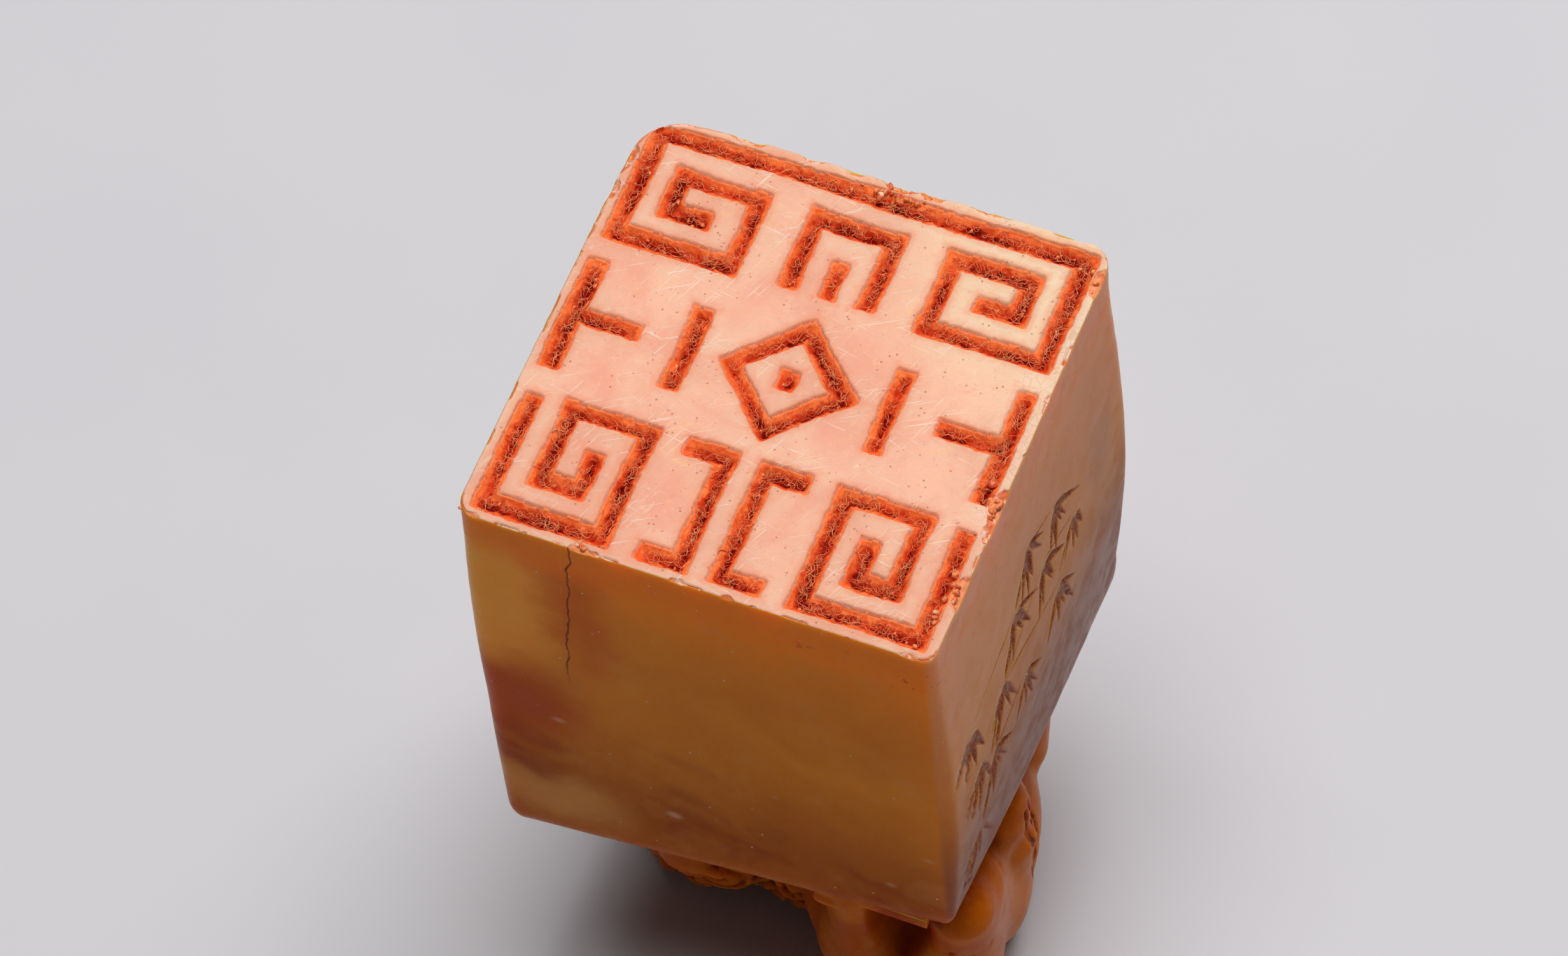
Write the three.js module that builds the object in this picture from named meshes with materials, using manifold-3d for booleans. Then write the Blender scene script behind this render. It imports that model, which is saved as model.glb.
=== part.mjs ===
// Carved soapstone seal stamp, standing on its beast knob with the seal face up.
// Millimetres, +Z up. The origin is on the floor under the middle of the stone.
import * as THREE from 'three';
import { mergeVertices } from 'three/addons/utils/BufferGeometryUtils.js';
import Module from 'manifold-3d';

// Square shaft
const FACE_SIDE = 20;
const SIDE_SWELL = 0.4;
const LEFT_FLARE = 0.55;
const FACE_EDGE_WEAR = 0.14;
const FRONT_LEFT_CORNER_RADIUS = 0.9;
const FRONT_RIGHT_CORNER_RADIUS = 0.6;
const BACK_RIGHT_CORNER_RADIUS = 1.1;
const BACK_LEFT_CORNER_RADIUS = 1.9;

// Rounded shoulder, short at the near (front right) corner and full length at the back
const SHOULDER_DEPTH = 27.1;
const NEAR_CORNER_LIFT = 3.6;
const LEFT_CORNER_LIFT = 0.3;
const SHOULDER_INSET = 1.4;
const SHOULDER_RISE = 2;
const BACK_CORNER_EXTRA_RISE = 2.5;
const CORE_HEIGHT = 0.3;
const CORE_INSET = 2.2;

// Low ground between the shaft and the beast
const GROUND_THICKNESS = 1;
const GROUND_EDGE_ROUNDING = 0.4;
const GROUND_SETBACK = 0.1;

// Incised fret pattern and the seal paste left in it
const STROKE_PITCH = 0.08275 * FACE_SIDE;
const STROKE_WIDTH = 0.92;
const STROKE_DEPTH = 0.75;
const STROKE_FLOOR_WIDTH = 0.28;
const STROKE_END_RUN = 0.3;
const PASTE_TOP_DEPTH = 0.28;
const PASTE_HOLLOW = 0.14;
const PASTE_CLEARANCE = 0.02;
const GRID_LINES = 12;
const LOZENGE_HALF_DIAGONAL = 1.45 * STROKE_PITCH;

// Crouching beast, with its head at low x; its masses are placed in shares of these sizes
const BEAST_LENGTH = FACE_SIDE;
const BEAST_WIDTH = 0.685 * FACE_SIDE;
const BEAST_HEIGHT = 12.2;
const REST_FLAT_SINK = 0.03;
const LEG_TOP = 0.38;
const HEAD_X = -0.291;
const HEAD_Y = -0.03;
const FORELEG_X = -0.225;
const FORELEG_Y = 0.41;
const FORELEG_RADIUS = 0.097;
const MANE_CURLS = 9;
const FRONT_HIND_STANCE = { shankX: 0.2, heelX: 0.426 };
const BACK_HIND_STANCE = { shankX: 0.16, heelX: 0.335 };
const SHANK_RADIUS = 0.0485;
const HEEL_RADIUS = 0.0714;
const TAIL_Y = -0.04;
const CORD_PASSAGE_WIDTH = 5;
const CORD_PASSAGE_HEIGHT = LEG_TOP * BEAST_HEIGHT;
const CORD_PASSAGE_CORNER = 0.8;
const CORD_PASSAGE_X = -0.2;

// Derived levels
const SHAFT_LENGTH = SHOULDER_DEPTH + CORE_HEIGHT;
const GROUND_Z = BEAST_HEIGHT;
const SHAFT_BOTTOM_Z = GROUND_Z + GROUND_THICKNESS;
const FACE_Z = SHAFT_BOTTOM_Z + SHAFT_LENGTH;
const FACE_CENTRE_X = (LEFT_FLARE - SIDE_SWELL) / 2;
const FACE_CENTRE_Y = -SIDE_SWELL / 2;

const wasm = await Module();
wasm.setup();

// Turns a closed three.js geometry into a solid
function solidFrom(geometry) {
  const plain = geometry.clone();
  plain.deleteAttribute('normal');
  plain.deleteAttribute('uv');
  const merged = mergeVertices(plain, 1e-5);
  const vertProperties = new Float32Array(merged.attributes.position.array);
  const triVerts = new Uint32Array(merged.index.array);
  return new wasm.Manifold(new wasm.Mesh({ numProp: 3, vertProperties, triVerts }));
}

// Turns a solid back into a flat-shaded three.js geometry
function geometryFrom(solid) {
  const mesh = solid.getMesh();
  const geometry = new THREE.BufferGeometry();
  geometry.setAttribute('position', new THREE.BufferAttribute(mesh.vertProperties, 3));
  geometry.setIndex(new THREE.BufferAttribute(mesh.triVerts, 1));
  return geometry;
}

function joined(solids) {
  return solids.reduce((whole, solid) => whole.add(solid));
}

// Skins a row of rings that share one cap outline
function skinRings(rings, capOutline, closed) {
  const points = rings.flat();
  const size = rings[0].length;
  const index = [];
  const spans = closed ? rings.length : rings.length - 1;
  for (let k = 0; k < spans; k += 1) {
    const near = k * size;
    const far = ((k + 1) % rings.length) * size;
    for (let i = 0; i < size; i += 1) {
      const j = (i + 1) % size;
      index.push(near + i, near + j, far + j);
      index.push(near + i, far + j, far + i);
    }
  }
  if (!closed) {
    const last = (rings.length - 1) * size;
    for (const [a, b, c] of THREE.ShapeUtils.triangulateShape(capOutline, [])) {
      index.push(c, b, a);
      index.push(last + a, last + b, last + c);
    }
  }
  const geometry = new THREE.BufferGeometry().setFromPoints(points);
  geometry.setIndex(index);
  return geometry;
}

// Outline of the square shaft, inset from its sides, counter-clockwise from the front left
function shaftOutline(inset) {
  const corners = [
    [-1, -1, FRONT_LEFT_CORNER_RADIUS],
    [1, -1, FRONT_RIGHT_CORNER_RADIUS],
    [1, 1, BACK_RIGHT_CORNER_RADIUS],
    [-1, 1, BACK_LEFT_CORNER_RADIUS],
  ];
  const steps = 5;
  const points = [];
  corners.forEach(([sideX, sideY, radius], corner) => {
    const shrunk = Math.max(radius - inset, 0.3);
    const reach = FACE_SIDE / 2 - inset - shrunk;
    for (let step = 0; step <= steps; step += 1) {
      const angle = Math.PI + (corner + step / steps) * (Math.PI / 2);
      const x = FACE_CENTRE_X + sideX * reach + shrunk * Math.cos(angle);
      const y = FACE_CENTRE_Y + sideY * reach + shrunk * Math.sin(angle);
      points.push(new THREE.Vector2(x, y));
    }
  });
  return points;
}

// Depth below the seal face at which the shaft's side ends
function shoulderDepth(x, y) {
  const alongFront = (NEAR_CORNER_LIFT - LEFT_CORNER_LIFT) * (1 - shareToRight(x));
  const towardBack = NEAR_CORNER_LIFT * shareToBack(y);
  const lift = NEAR_CORNER_LIFT - alongFront - towardBack;
  return SHOULDER_DEPTH - Math.max(lift, 0);
}

// Height over which the shoulder rounds off: tallest at the back right corner
function shoulderRise(x, y) {
  const nearness = shareToRight(x) * shareToBack(y);
  return SHOULDER_RISE + BACK_CORNER_EXTRA_RISE * nearness ** 3;
}

function shareToRight(x) {
  return (x - FACE_CENTRE_X) / FACE_SIDE + 0.5;
}

function shareToBack(y) {
  return (y - FACE_CENTRE_Y) / FACE_SIDE + 0.5;
}

// One ring of the shaft, moved outwards by the swell of the back and right sides and the
// flare of the left side
function shaftRing(inset, heightAt, swell, flare) {
  return shaftOutline(inset).map((point) => {
    const toRight = shareToRight(point.x);
    const x = point.x + swell * toRight - flare * (1 - toRight);
    const y = point.y + swell * shareToBack(point.y);
    return new THREE.Vector3(x, y, heightAt(point.x, point.y));
  });
}

function shaftBlock() {
  const rings = [];
  rings.push(shaftRing(CORE_INSET, () => SHAFT_BOTTOM_Z, 0, LEFT_FLARE));
  const shoulderSteps = 5;
  for (let step = 0; step <= shoulderSteps; step += 1) {
    const angle = (step / shoulderSteps) * (Math.PI / 2);
    const inset = SHOULDER_INSET * (1 - Math.sin(angle));
    const share = 1 - Math.cos(angle);
    const heightAt = (x, y) => FACE_Z - shoulderDepth(x, y) + shoulderRise(x, y) * share;
    rings.push(shaftRing(inset, heightAt, 0, LEFT_FLARE));
  }
  const sideSteps = 7;
  for (let step = 1; step <= sideSteps; step += 1) {
    const share = step / sideSteps;
    const drop = 1 - share;
    const swell = SIDE_SWELL * Math.sin(Math.PI * drop ** 1.3);
    const flare = LEFT_FLARE * (1 - share ** 4);
    const topZ = FACE_Z - FACE_EDGE_WEAR;
    const heightAt = (x, y) => {
      const lowZ = FACE_Z - shoulderDepth(x, y) + shoulderRise(x, y);
      return lowZ + (topZ - lowZ) * share;
    };
    rings.push(shaftRing(0, heightAt, swell, flare));
  }
  rings.push(shaftRing(FACE_EDGE_WEAR, () => FACE_Z, 0, 0));
  return solidFrom(skinRings(rings, shaftOutline(CORE_INSET), false));
}

// Section of a cut stroke: sloping walls down to a narrow floor
function strokeSection() {
  const above = 0.3;
  const half = STROKE_WIDTH / 2;
  const floor = STROKE_FLOOR_WIDTH / 2;
  const waist = (half + 2 * floor) / 3;
  return [
    [half, above],
    [-half, above],
    [-half, 0],
    [-waist, -STROKE_DEPTH * 0.7],
    [-floor, -STROKE_DEPTH],
    [floor, -STROKE_DEPTH],
    [waist, -STROKE_DEPTH * 0.7],
    [half, 0],
  ];
}

// Section of the paste that lies in the lower part of a stroke
function pasteSection() {
  const half = STROKE_WIDTH / 2;
  const floor = STROKE_FLOOR_WIDTH / 2;
  const waist = (half + 2 * floor) / 3;
  const waistDepth = STROKE_DEPTH * 0.7;
  const top = half + ((waist - half) * PASTE_TOP_DEPTH) / waistDepth - PASTE_CLEARANCE;
  return [
    [0, -PASTE_TOP_DEPTH - PASTE_HOLLOW],
    [-top, -PASTE_TOP_DEPTH],
    [-waist + PASTE_CLEARANCE, -waistDepth],
    [-floor + PASTE_CLEARANCE, -STROKE_DEPTH + PASTE_CLEARANCE],
    [floor - PASTE_CLEARANCE, -STROKE_DEPTH + PASTE_CLEARANCE],
    [waist - PASTE_CLEARANCE, -waistDepth],
    [top, -PASTE_TOP_DEPTH],
  ];
}

// Sweeps a section along a path on the face, with mitred bends
function sweep(path, section, closed, endRun) {
  const count = path.length;
  const rings = path.map((point, k) => {
    const before = closed ? path[(k + count - 1) % count] : path[Math.max(k - 1, 0)];
    const after = closed ? path[(k + 1) % count] : path[Math.min(k + 1, count - 1)];
    const into = point.clone().sub(before).normalize();
    const out = after.clone().sub(point).normalize();
    const first = into.lengthSq() > 0 ? into : out;
    const second = out.lengthSq() > 0 ? out : into;
    const sum = first.clone().add(second);
    const mitre = sum.clone().multiplyScalar(2 / sum.lengthSq());
    const across = new THREE.Vector2(-mitre.y, mitre.x);
    return ringAt(point, across, section, 1);
  });
  if (!closed && endRun > 0) {
    rings.unshift(endRing(path[1], path[0], section, endRun).reverseSide);
    rings.push(endRing(path[count - 2], path[count - 1], section, endRun).sameSide);
  }
  const outline = section.map(([u, z]) => new THREE.Vector2(u, z));
  return solidFrom(skinRings(rings, outline, closed));
}

function ringAt(point, across, section, narrowing) {
  return section.map(([u, z]) => {
    const low = Math.min(z, 0) * narrowing + Math.max(z, 0);
    const x = point.x + across.x * u * narrowing;
    const y = point.y + across.y * u * narrowing;
    return new THREE.Vector3(x, y, FACE_Z + low);
  });
}

// The narrowed ring with which a chisel cut runs out
function endRing(from, to, section, endRun) {
  const along = to.clone().sub(from).normalize();
  const tip = to.clone().addScaledVector(along, endRun);
  const across = new THREE.Vector2(-along.y, along.x);
  return {
    sameSide: ringAt(tip, across, section, 0.55),
    reverseSide: ringAt(tip, across.clone().negate(), section, 0.55),
  };
}

// Fret pattern on a grid of lines, mirrored about the middle of the face
function gridPoint(column, row) {
  const middle = (GRID_LINES - 1) / 2;
  const x = FACE_CENTRE_X + (column - middle) * STROKE_PITCH;
  const y = FACE_CENTRE_Y + (row - middle) * STROKE_PITCH;
  return new THREE.Vector2(x, y);
}

function mirrored(path) {
  return path.map((point) => new THREE.Vector2(2 * FACE_CENTRE_X - point.x, point.y));
}

// A squared spiral: each run turns a quarter to the left and the runs get shorter
function squareSpiral(column, row, heading, runs) {
  const points = [gridPoint(column, row)];
  const place = new THREE.Vector2(column, row);
  const direction = new THREE.Vector2().fromArray(heading);
  for (const run of runs) {
    place.addScaledVector(direction, run);
    points.push(gridPoint(place.x, place.y));
    direction.set(-direction.y, direction.x);
  }
  return points;
}

function fretPattern() {
  const last = GRID_LINES - 1;
  const middle = last / 2;
  const topHalf = squareSpiral(middle, last, [-1, 0], [middle, 3, 3, 2, 2, 1, 1]);
  const topWhole = [...topHalf].reverse().concat(mirrored(topHalf).slice(1));
  const bottomSpiral = squareSpiral(0, 3, [0, -1], [3, 3, 3, 2, 2, 1, 1]);
  const gate = [[middle - 1, 8], [middle - 1, 10], [middle + 1, 10], [middle + 1, 8]];
  const post = [gridPoint(0, 4), gridPoint(0, 7)];
  const arm = [gridPoint(0, middle), gridPoint(1.6, middle)];
  const bar = [gridPoint(2.9, 4.4), gridPoint(2.9, 6.6)];
  const bracket = [[4, 0], [5, 0], [5, 3], [4, 3]].map(([i, j]) => gridPoint(i, j));
  const centre = gridPoint(middle, middle);
  const lozenge = [0, 1, 2, 3].map((quarter) => {
    const angle = (quarter * Math.PI) / 2;
    const spoke = new THREE.Vector2(Math.cos(angle), Math.sin(angle));
    return centre.clone().addScaledVector(spoke, LOZENGE_HALF_DIAGONAL);
  });
  return [
    { name: 'top_spirals', paths: [topWhole] },
    { name: 'gate', paths: [gate.map(([i, j]) => gridPoint(i, j))] },
    { name: 'gate_bar', paths: [[gridPoint(middle, 8), gridPoint(middle, 8.9)]] },
    { name: 'left_post', paths: [post, arm] },
    { name: 'right_post', paths: [mirrored(post), mirrored(arm)] },
    { name: 'left_bar', paths: [bar] },
    { name: 'right_bar', paths: [mirrored(bar)] },
    { name: 'lozenge', paths: [lozenge], closed: true },
    { name: 'lozenge_seed', paths: [[gridPoint(middle, 5.3), gridPoint(middle, 5.7)]] },
    { name: 'left_spiral', paths: [bottomSpiral] },
    { name: 'right_spiral', paths: [mirrored(bottomSpiral)] },
    { name: 'left_bracket', paths: [bracket] },
    { name: 'right_bracket', paths: [mirrored(bracket)] },
  ];
}

function strokeCutter(fret) {
  const section = strokeSection();
  return joined(fret.paths.map((path) => sweep(path, section, fret.closed, STROKE_END_RUN)));
}

function pasteStrip(fret) {
  const section = pasteSection();
  return joined(fret.paths.map((path) => sweep(path, section, fret.closed, 0)));
}

function shaftWithStrokes(frets) {
  return shaftBlock().subtract(joined(frets.map(strokeCutter)));
}

// Plate with a rounded lower edge, on which the beast crouches
function knobGround() {
  const inset = CORE_INSET + GROUND_SETBACK + GROUND_EDGE_ROUNDING;
  const shape = new THREE.Shape(shaftOutline(inset));
  const geometry = new THREE.ExtrudeGeometry(shape, {
    depth: GROUND_THICKNESS - GROUND_EDGE_ROUNDING,
    bevelThickness: GROUND_EDGE_ROUNDING,
    bevelSize: GROUND_EDGE_ROUNDING,
    bevelSegments: 3,
  });
  geometry.translate(0, 0, GROUND_Z + GROUND_EDGE_ROUNDING);
  const plate = solidFrom(geometry);
  return plate.intersect(slab(GROUND_Z, SHAFT_BOTTOM_Z));
}

// Everything between two heights
function slab(lowZ, highZ) {
  const wide = 2 * FACE_SIDE;
  return region([-wide, wide], [-wide, wide], [lowZ, highZ]);
}

function region([x0, x1], [y0, y1], [z0, z1]) {
  const geometry = new THREE.BoxGeometry(x1 - x0, y1 - y0, z1 - z0);
  geometry.translate((x0 + x1) / 2, (y0 + y1) / 2, (z0 + z1) / 2);
  return solidFrom(geometry);
}

// A place on the beast, in shares of its length, width and height from the ground's middle
function place(x, y, h) {
  return new THREE.Vector3(
    FACE_CENTRE_X + x * BEAST_LENGTH,
    FACE_CENTRE_Y + y * BEAST_WIDTH,
    GROUND_Z - h * BEAST_HEIGHT,
  );
}

// A rounded mass; its sizes are shares of the beast's length, width and height
function mass(centre, [length, width, height], turn = 0, round = 16) {
  const geometry = new THREE.SphereGeometry(0.5, round, Math.round(round * 0.65));
  geometry.rotateX(Math.PI / 2);
  geometry.scale(length * BEAST_LENGTH, width * BEAST_WIDTH, height * BEAST_HEIGHT);
  geometry.rotateZ(turn);
  geometry.translate(centre.x, centre.y, centre.z);
  return solidFrom(geometry);
}

// A tapering limb with round ends; its radii are shares of the beast's length
function limb(from, to, fromShare, toShare) {
  const fromRadius = fromShare * BEAST_LENGTH;
  const toRadius = toShare * BEAST_LENGTH;
  const length = from.distanceTo(to);
  const steps = 3;
  const profile = [];
  for (let step = 0; step <= steps; step += 1) {
    const angle = (step / steps) * (Math.PI / 2);
    profile.push([fromRadius * Math.sin(angle), -fromRadius * Math.cos(angle)]);
  }
  for (let step = 0; step <= steps; step += 1) {
    const angle = (step / steps) * (Math.PI / 2);
    profile.push([toRadius * Math.cos(angle), length + toRadius * Math.sin(angle)]);
  }
  profile[0][0] = 0;
  profile[profile.length - 1][0] = 0;
  const geometry = new THREE.LatheGeometry(profile.map(([r, y]) => new THREE.Vector2(r, y)), 10);
  const up = new THREE.Vector3(0, 1, 0);
  const along = to.clone().sub(from).normalize();
  geometry.applyQuaternion(new THREE.Quaternion().setFromUnitVectors(up, along));
  geometry.translate(from.x, from.y, from.z);
  return solidFrom(geometry);
}

function trunk() {
  const height = 1 - LEG_TOP + 0.05;
  const middle = 1 - 0.03 - height / 2;
  const spineRadius = 0.0485;
  const spineHeight = 0.926;
  const spineReach = 0.25;
  const spineFrom = place(-spineReach, 0, spineHeight);
  const spineTo = place(spineReach, 0, spineHeight);
  return [
    mass(place(-0.02, 0, middle), [0.786, 0.613, height], 0, 20),
    limb(spineFrom, spineTo, spineRadius, spineRadius),
  ];
}

function shoulders() {
  return [
    mass(place(FORELEG_X, 0, 0.566), [0.357, 0.73, 0.738]),
    mass(place(FORELEG_X - 0.07, 0, 0.279), [0.235, 0.54, 0.754]),
  ];
}

function haunches() {
  const height = 0.852;
  const middle = 1 + REST_FLAT_SINK - height / 2;
  return [mass(place(0.212, TAIL_Y, middle), [0.5, 1.007, height], 0, 22)];
}

function head() {
  const height = 0.672;
  const middle = 1 + REST_FLAT_SINK - height / 2;
  const y = HEAD_Y;
  const parts = [
    mass(place(HEAD_X, y, middle), [0.337, 0.54, height], 0, 18),
    mass(place(HEAD_X - 0.122, y - 0.02, 0.5), [0.184, 0.34, 0.279], 0.15),
    mass(place(HEAD_X - 0.117, y - 0.02, 0.369), [0.163, 0.27, 0.156], 0.15),
    mass(place(HEAD_X - 0.158, y - 0.025, 0.59), [0.097, 0.19, 0.139], 0.15, 10),
  ];
  for (const side of [-1, 1]) {
    const browPlace = place(HEAD_X - 0.102, y + side * 0.124, 0.73);
    const earPlace = place(HEAD_X + 0.046, y + side * 0.25, 0.738);
    parts.push(mass(browPlace, [0.112, 0.18, 0.131], side * 0.4, 10));
    parts.push(mass(earPlace, [0.133, 0.124, 0.279], side * 0.3, 10));
  }
  return parts;
}

// Curls of the mane, in an arch over the neck
function mane() {
  const curls = [];
  const sweepAngle = 1.35 * Math.PI;
  for (let k = 0; k < MANE_CURLS; k += 1) {
    const angle = (k / (MANE_CURLS - 1) - 0.5) * sweepAngle;
    const y = 0.263 * Math.sin(angle);
    const h = 0.607 + 0.291 * Math.cos(angle);
    curls.push(mass(place(-0.179, y, h), [0.153, 0.175, 0.2], 0, 10));
  }
  return curls;
}

function foreleg(side) {
  const foot = place(FORELEG_X, side * FORELEG_Y, 0.082);
  const elbow = place(FORELEG_X + 0.01, side * (FORELEG_Y - 0.034), 0.36);
  const paw = place(FORELEG_X - 0.1, side * FORELEG_Y, 0.066);
  const muscle = place(FORELEG_X + 0.02, side * (FORELEG_Y - 0.11), 0.56);
  return [
    limb(foot, elbow, FORELEG_RADIUS, FORELEG_RADIUS - 0.005),
    mass(paw, [0.265, 0.27, 0.279]),
    mass(muscle, [0.235, 0.2, 0.5], side * 0.15),
  ];
}

function hindStance(side) {
  return side < 0 ? FRONT_HIND_STANCE : BACK_HIND_STANCE;
}

function hindLeg(side) {
  const { shankX, heelX } = hindStance(side);
  const shankFoot = place(shankX, side * 0.5, 0.016);
  const knee = place(shankX - 0.026, side * 0.435, 0.557);
  const heel = place(heelX, side * 0.435, 0.049);
  const hock = place(heelX - 0.02, side * 0.37, 0.508);
  const thigh = place((shankX + heelX) / 2, side * 0.39, 0.59);
  const thighLength = heelX - shankX + 0.1;
  return [
    limb(shankFoot, knee, SHANK_RADIUS, 2 * SHANK_RADIUS),
    limb(heel, hock, HEEL_RADIUS, HEEL_RADIUS + 0.013),
    mass(thigh, [thighLength, 0.3, 0.607], -side * 0.2),
  ];
}

function tail() {
  const root = place(0.42, TAIL_Y, 0.6);
  const bend = place(0.425, TAIL_Y, 0.28);
  return [
    limb(root, bend, 0.051, 0.059),
    mass(place(0.415, TAIL_Y, 0.14), [0.133, 0.27, 0.37], 0, 12),
  ];
}

// Arched passage for the cord, under the belly from side to side
function cordPassage() {
  const half = CORD_PASSAGE_WIDTH / 2;
  const corner = CORD_PASSAGE_CORNER;
  const shape = new THREE.Shape();
  shape.moveTo(-half, -1);
  shape.lineTo(half, -1);
  shape.lineTo(half, CORD_PASSAGE_HEIGHT - corner);
  shape.absarc(half - corner, CORD_PASSAGE_HEIGHT - corner, corner, 0, Math.PI / 2);
  shape.lineTo(-half + corner, CORD_PASSAGE_HEIGHT);
  shape.absarc(-half + corner, CORD_PASSAGE_HEIGHT - corner, corner, Math.PI / 2, Math.PI);
  const depth = 2 * FACE_SIDE;
  const geometry = new THREE.ExtrudeGeometry(shape, { depth, bevelEnabled: false, curveSegments: 4 });
  geometry.translate(0, 0, -depth / 2);
  geometry.rotateX(-Math.PI / 2);
  geometry.translate(FACE_CENTRE_X + CORD_PASSAGE_X, 0, GROUND_Z);
  return solidFrom(geometry);
}

// Hollow between the shank and the heel of a hind leg
function legHollow(side) {
  const { shankX, heelX } = hindStance(side);
  const from = shankX + SHANK_RADIUS;
  const to = heelX - HEEL_RADIUS;
  const width = to - from + 0.025;
  return mass(place((from + to) / 2, side * 0.57, 0.131), [width, 0.62, 0.59], 0, 14);
}

function wholeBeast() {
  const sides = [-1, 1];
  const masses = [
    ...trunk(),
    ...shoulders(),
    ...haunches(),
    ...head(),
    ...mane(),
    ...sides.flatMap(foreleg),
    ...sides.flatMap(hindLeg),
    ...tail(),
  ];
  let beast = joined(masses).subtract(cordPassage());
  for (const side of sides) {
    beast = beast.subtract(legHollow(side));
  }
  return beast.intersect(slab(0, GROUND_Z));
}

// The beast is named by its limbs; flat planes part one carved region from the next
function beastRegions() {
  const far = FACE_SIDE;
  const parting = GROUND_Z - LEG_TOP * BEAST_HEIGHT;
  const legs = [parting, GROUND_Z];
  const body = [0, parting];
  const middle = FACE_CENTRE_Y;
  const neckX = FACE_CENTRE_X - 0.26 * BEAST_LENGTH;
  const loinX = FACE_CENTRE_X + 0.12 * BEAST_LENGTH;
  const chestHalf = 0.2 * BEAST_WIDTH;
  const low = [-far, middle - chestHalf];
  const high = [middle + chestHalf, far];
  const tailX = FACE_CENTRE_X + 0.42 * BEAST_LENGTH;
  const tailMiddle = middle + TAIL_Y * BEAST_WIDTH;
  const tailHalf = 0.15 * BEAST_WIDTH;
  const tailY = [tailMiddle - tailHalf, tailMiddle + tailHalf];
  return [
    { name: 'beast_head', box: [[-far, neckX], [-far, far], body] },
    { name: 'beast_trunk', box: [[neckX, loinX], [-far, far], body] },
    { name: 'beast_haunches', box: [[loinX, far], [-far, far], body] },
    { name: 'beast_chest', box: [[-far, 0], [low[1], high[0]], legs] },
    { name: 'front_foreleg', box: [[-far, 0], low, legs] },
    { name: 'back_foreleg', box: [[-far, 0], high, legs] },
    { name: 'beast_tail', box: [[tailX, far], tailY, legs] },
    { name: 'front_hind_leg', box: [[0, far], [-far, middle], legs], less: 'beast_tail' },
    { name: 'back_hind_leg', box: [[0, far], [middle, far], legs], less: 'beast_tail' },
  ];
}

function beastPieces() {
  const whole = wholeBeast();
  const regions = beastRegions();
  return regions.map(({ name, box, less }) => {
    const piece = whole.intersect(region(...box));
    const other = regions.find((candidate) => candidate.name === less);
    const solid = other ? piece.subtract(region(...other.box)) : piece;
    return { name, solid };
  });
}

const stoneMaterial = (color) => new THREE.MeshStandardMaterial({
  color,
  roughness: 0.3,
  metalness: 0,
});

const pasteMaterial = () => new THREE.MeshStandardMaterial({
  color: 0xa82812,
  roughness: 0.75,
  metalness: 0,
});

function addPiece(parent, name, solid, material) {
  const mesh = new THREE.Mesh(geometryFrom(solid), material);
  mesh.name = name;
  parent.add(mesh);
}

function buildSeal() {
  const seal = new THREE.Group();
  const frets = fretPattern();
  addPiece(seal, 'seal_shaft', shaftWithStrokes(frets), stoneMaterial(0xb5763c));
  for (const fret of frets) {
    addPiece(seal, `paste_${fret.name}`, pasteStrip(fret), pasteMaterial());
  }
  addPiece(seal, 'knob_ground', knobGround(), stoneMaterial(0xa8662e));
  for (const { name, solid } of beastPieces()) {
    addPiece(seal, name, solid, stoneMaterial(0xa05a24));
  }
  return seal;
}

const group = buildSeal();

export default group;
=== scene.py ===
import math
from itertools import product

import bmesh
import bpy
import numpy as np
from mathutils import Matrix, Vector


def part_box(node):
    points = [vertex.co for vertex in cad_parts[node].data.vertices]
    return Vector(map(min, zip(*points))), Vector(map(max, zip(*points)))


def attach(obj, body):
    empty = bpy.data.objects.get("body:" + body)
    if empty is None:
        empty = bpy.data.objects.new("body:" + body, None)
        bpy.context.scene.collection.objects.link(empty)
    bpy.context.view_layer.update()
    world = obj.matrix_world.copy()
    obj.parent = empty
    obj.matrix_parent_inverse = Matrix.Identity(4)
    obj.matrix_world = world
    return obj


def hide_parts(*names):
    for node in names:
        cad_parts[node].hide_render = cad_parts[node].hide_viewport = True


# Soapstone seal standing on its beast knob. Sizes in this script are millimetres until a mesh is made.
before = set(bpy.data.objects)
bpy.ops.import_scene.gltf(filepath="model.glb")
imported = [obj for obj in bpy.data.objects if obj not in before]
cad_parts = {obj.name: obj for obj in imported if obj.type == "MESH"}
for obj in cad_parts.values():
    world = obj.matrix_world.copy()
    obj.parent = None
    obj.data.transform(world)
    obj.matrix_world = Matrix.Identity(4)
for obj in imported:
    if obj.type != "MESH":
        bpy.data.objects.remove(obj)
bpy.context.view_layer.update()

MM = 0.001
UP = np.array([0.0, 0.0, 1.0])
FAR_OFF = -9.0

# Sizes of the shaft, as in the CAD model
shaft_low, shaft_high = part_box("seal_shaft")
FACE_Z = shaft_high.z / MM
SHAFT_BOTTOM_Z = shaft_low.z / MM
GROUND_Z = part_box("knob_ground")[0].z / MM
FACE_HALF = 10.0
SIDE_SWELL = 0.4
LEFT_FLARE = 0.55
FACE_CENTRE_X = (LEFT_FLARE - SIDE_SWELL) / 2
FACE_CENTRE_Y = -SIDE_SWELL / 2
CORNER_RADII = {(-1, -1): 0.9, (1, -1): 0.6, (1, 1): 1.1, (-1, 1): 1.9}
SHOULDER_DEPTH = 27.1
NEAR_CORNER_LIFT = 3.6
LEFT_CORNER_LIFT = 0.3
SHOULDER_INSET = 1.4
SHOULDER_RISE = 2.0
BACK_CORNER_EXTRA_RISE = 2.5
CORE_INSET = 2.2

# Net of points on the shaft, finer at the face's rim
GRID_STEP = 0.25
RIM_STEPS = [0.06, 0.13, 0.22, 0.35]
FINE_CUTS = 3

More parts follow.
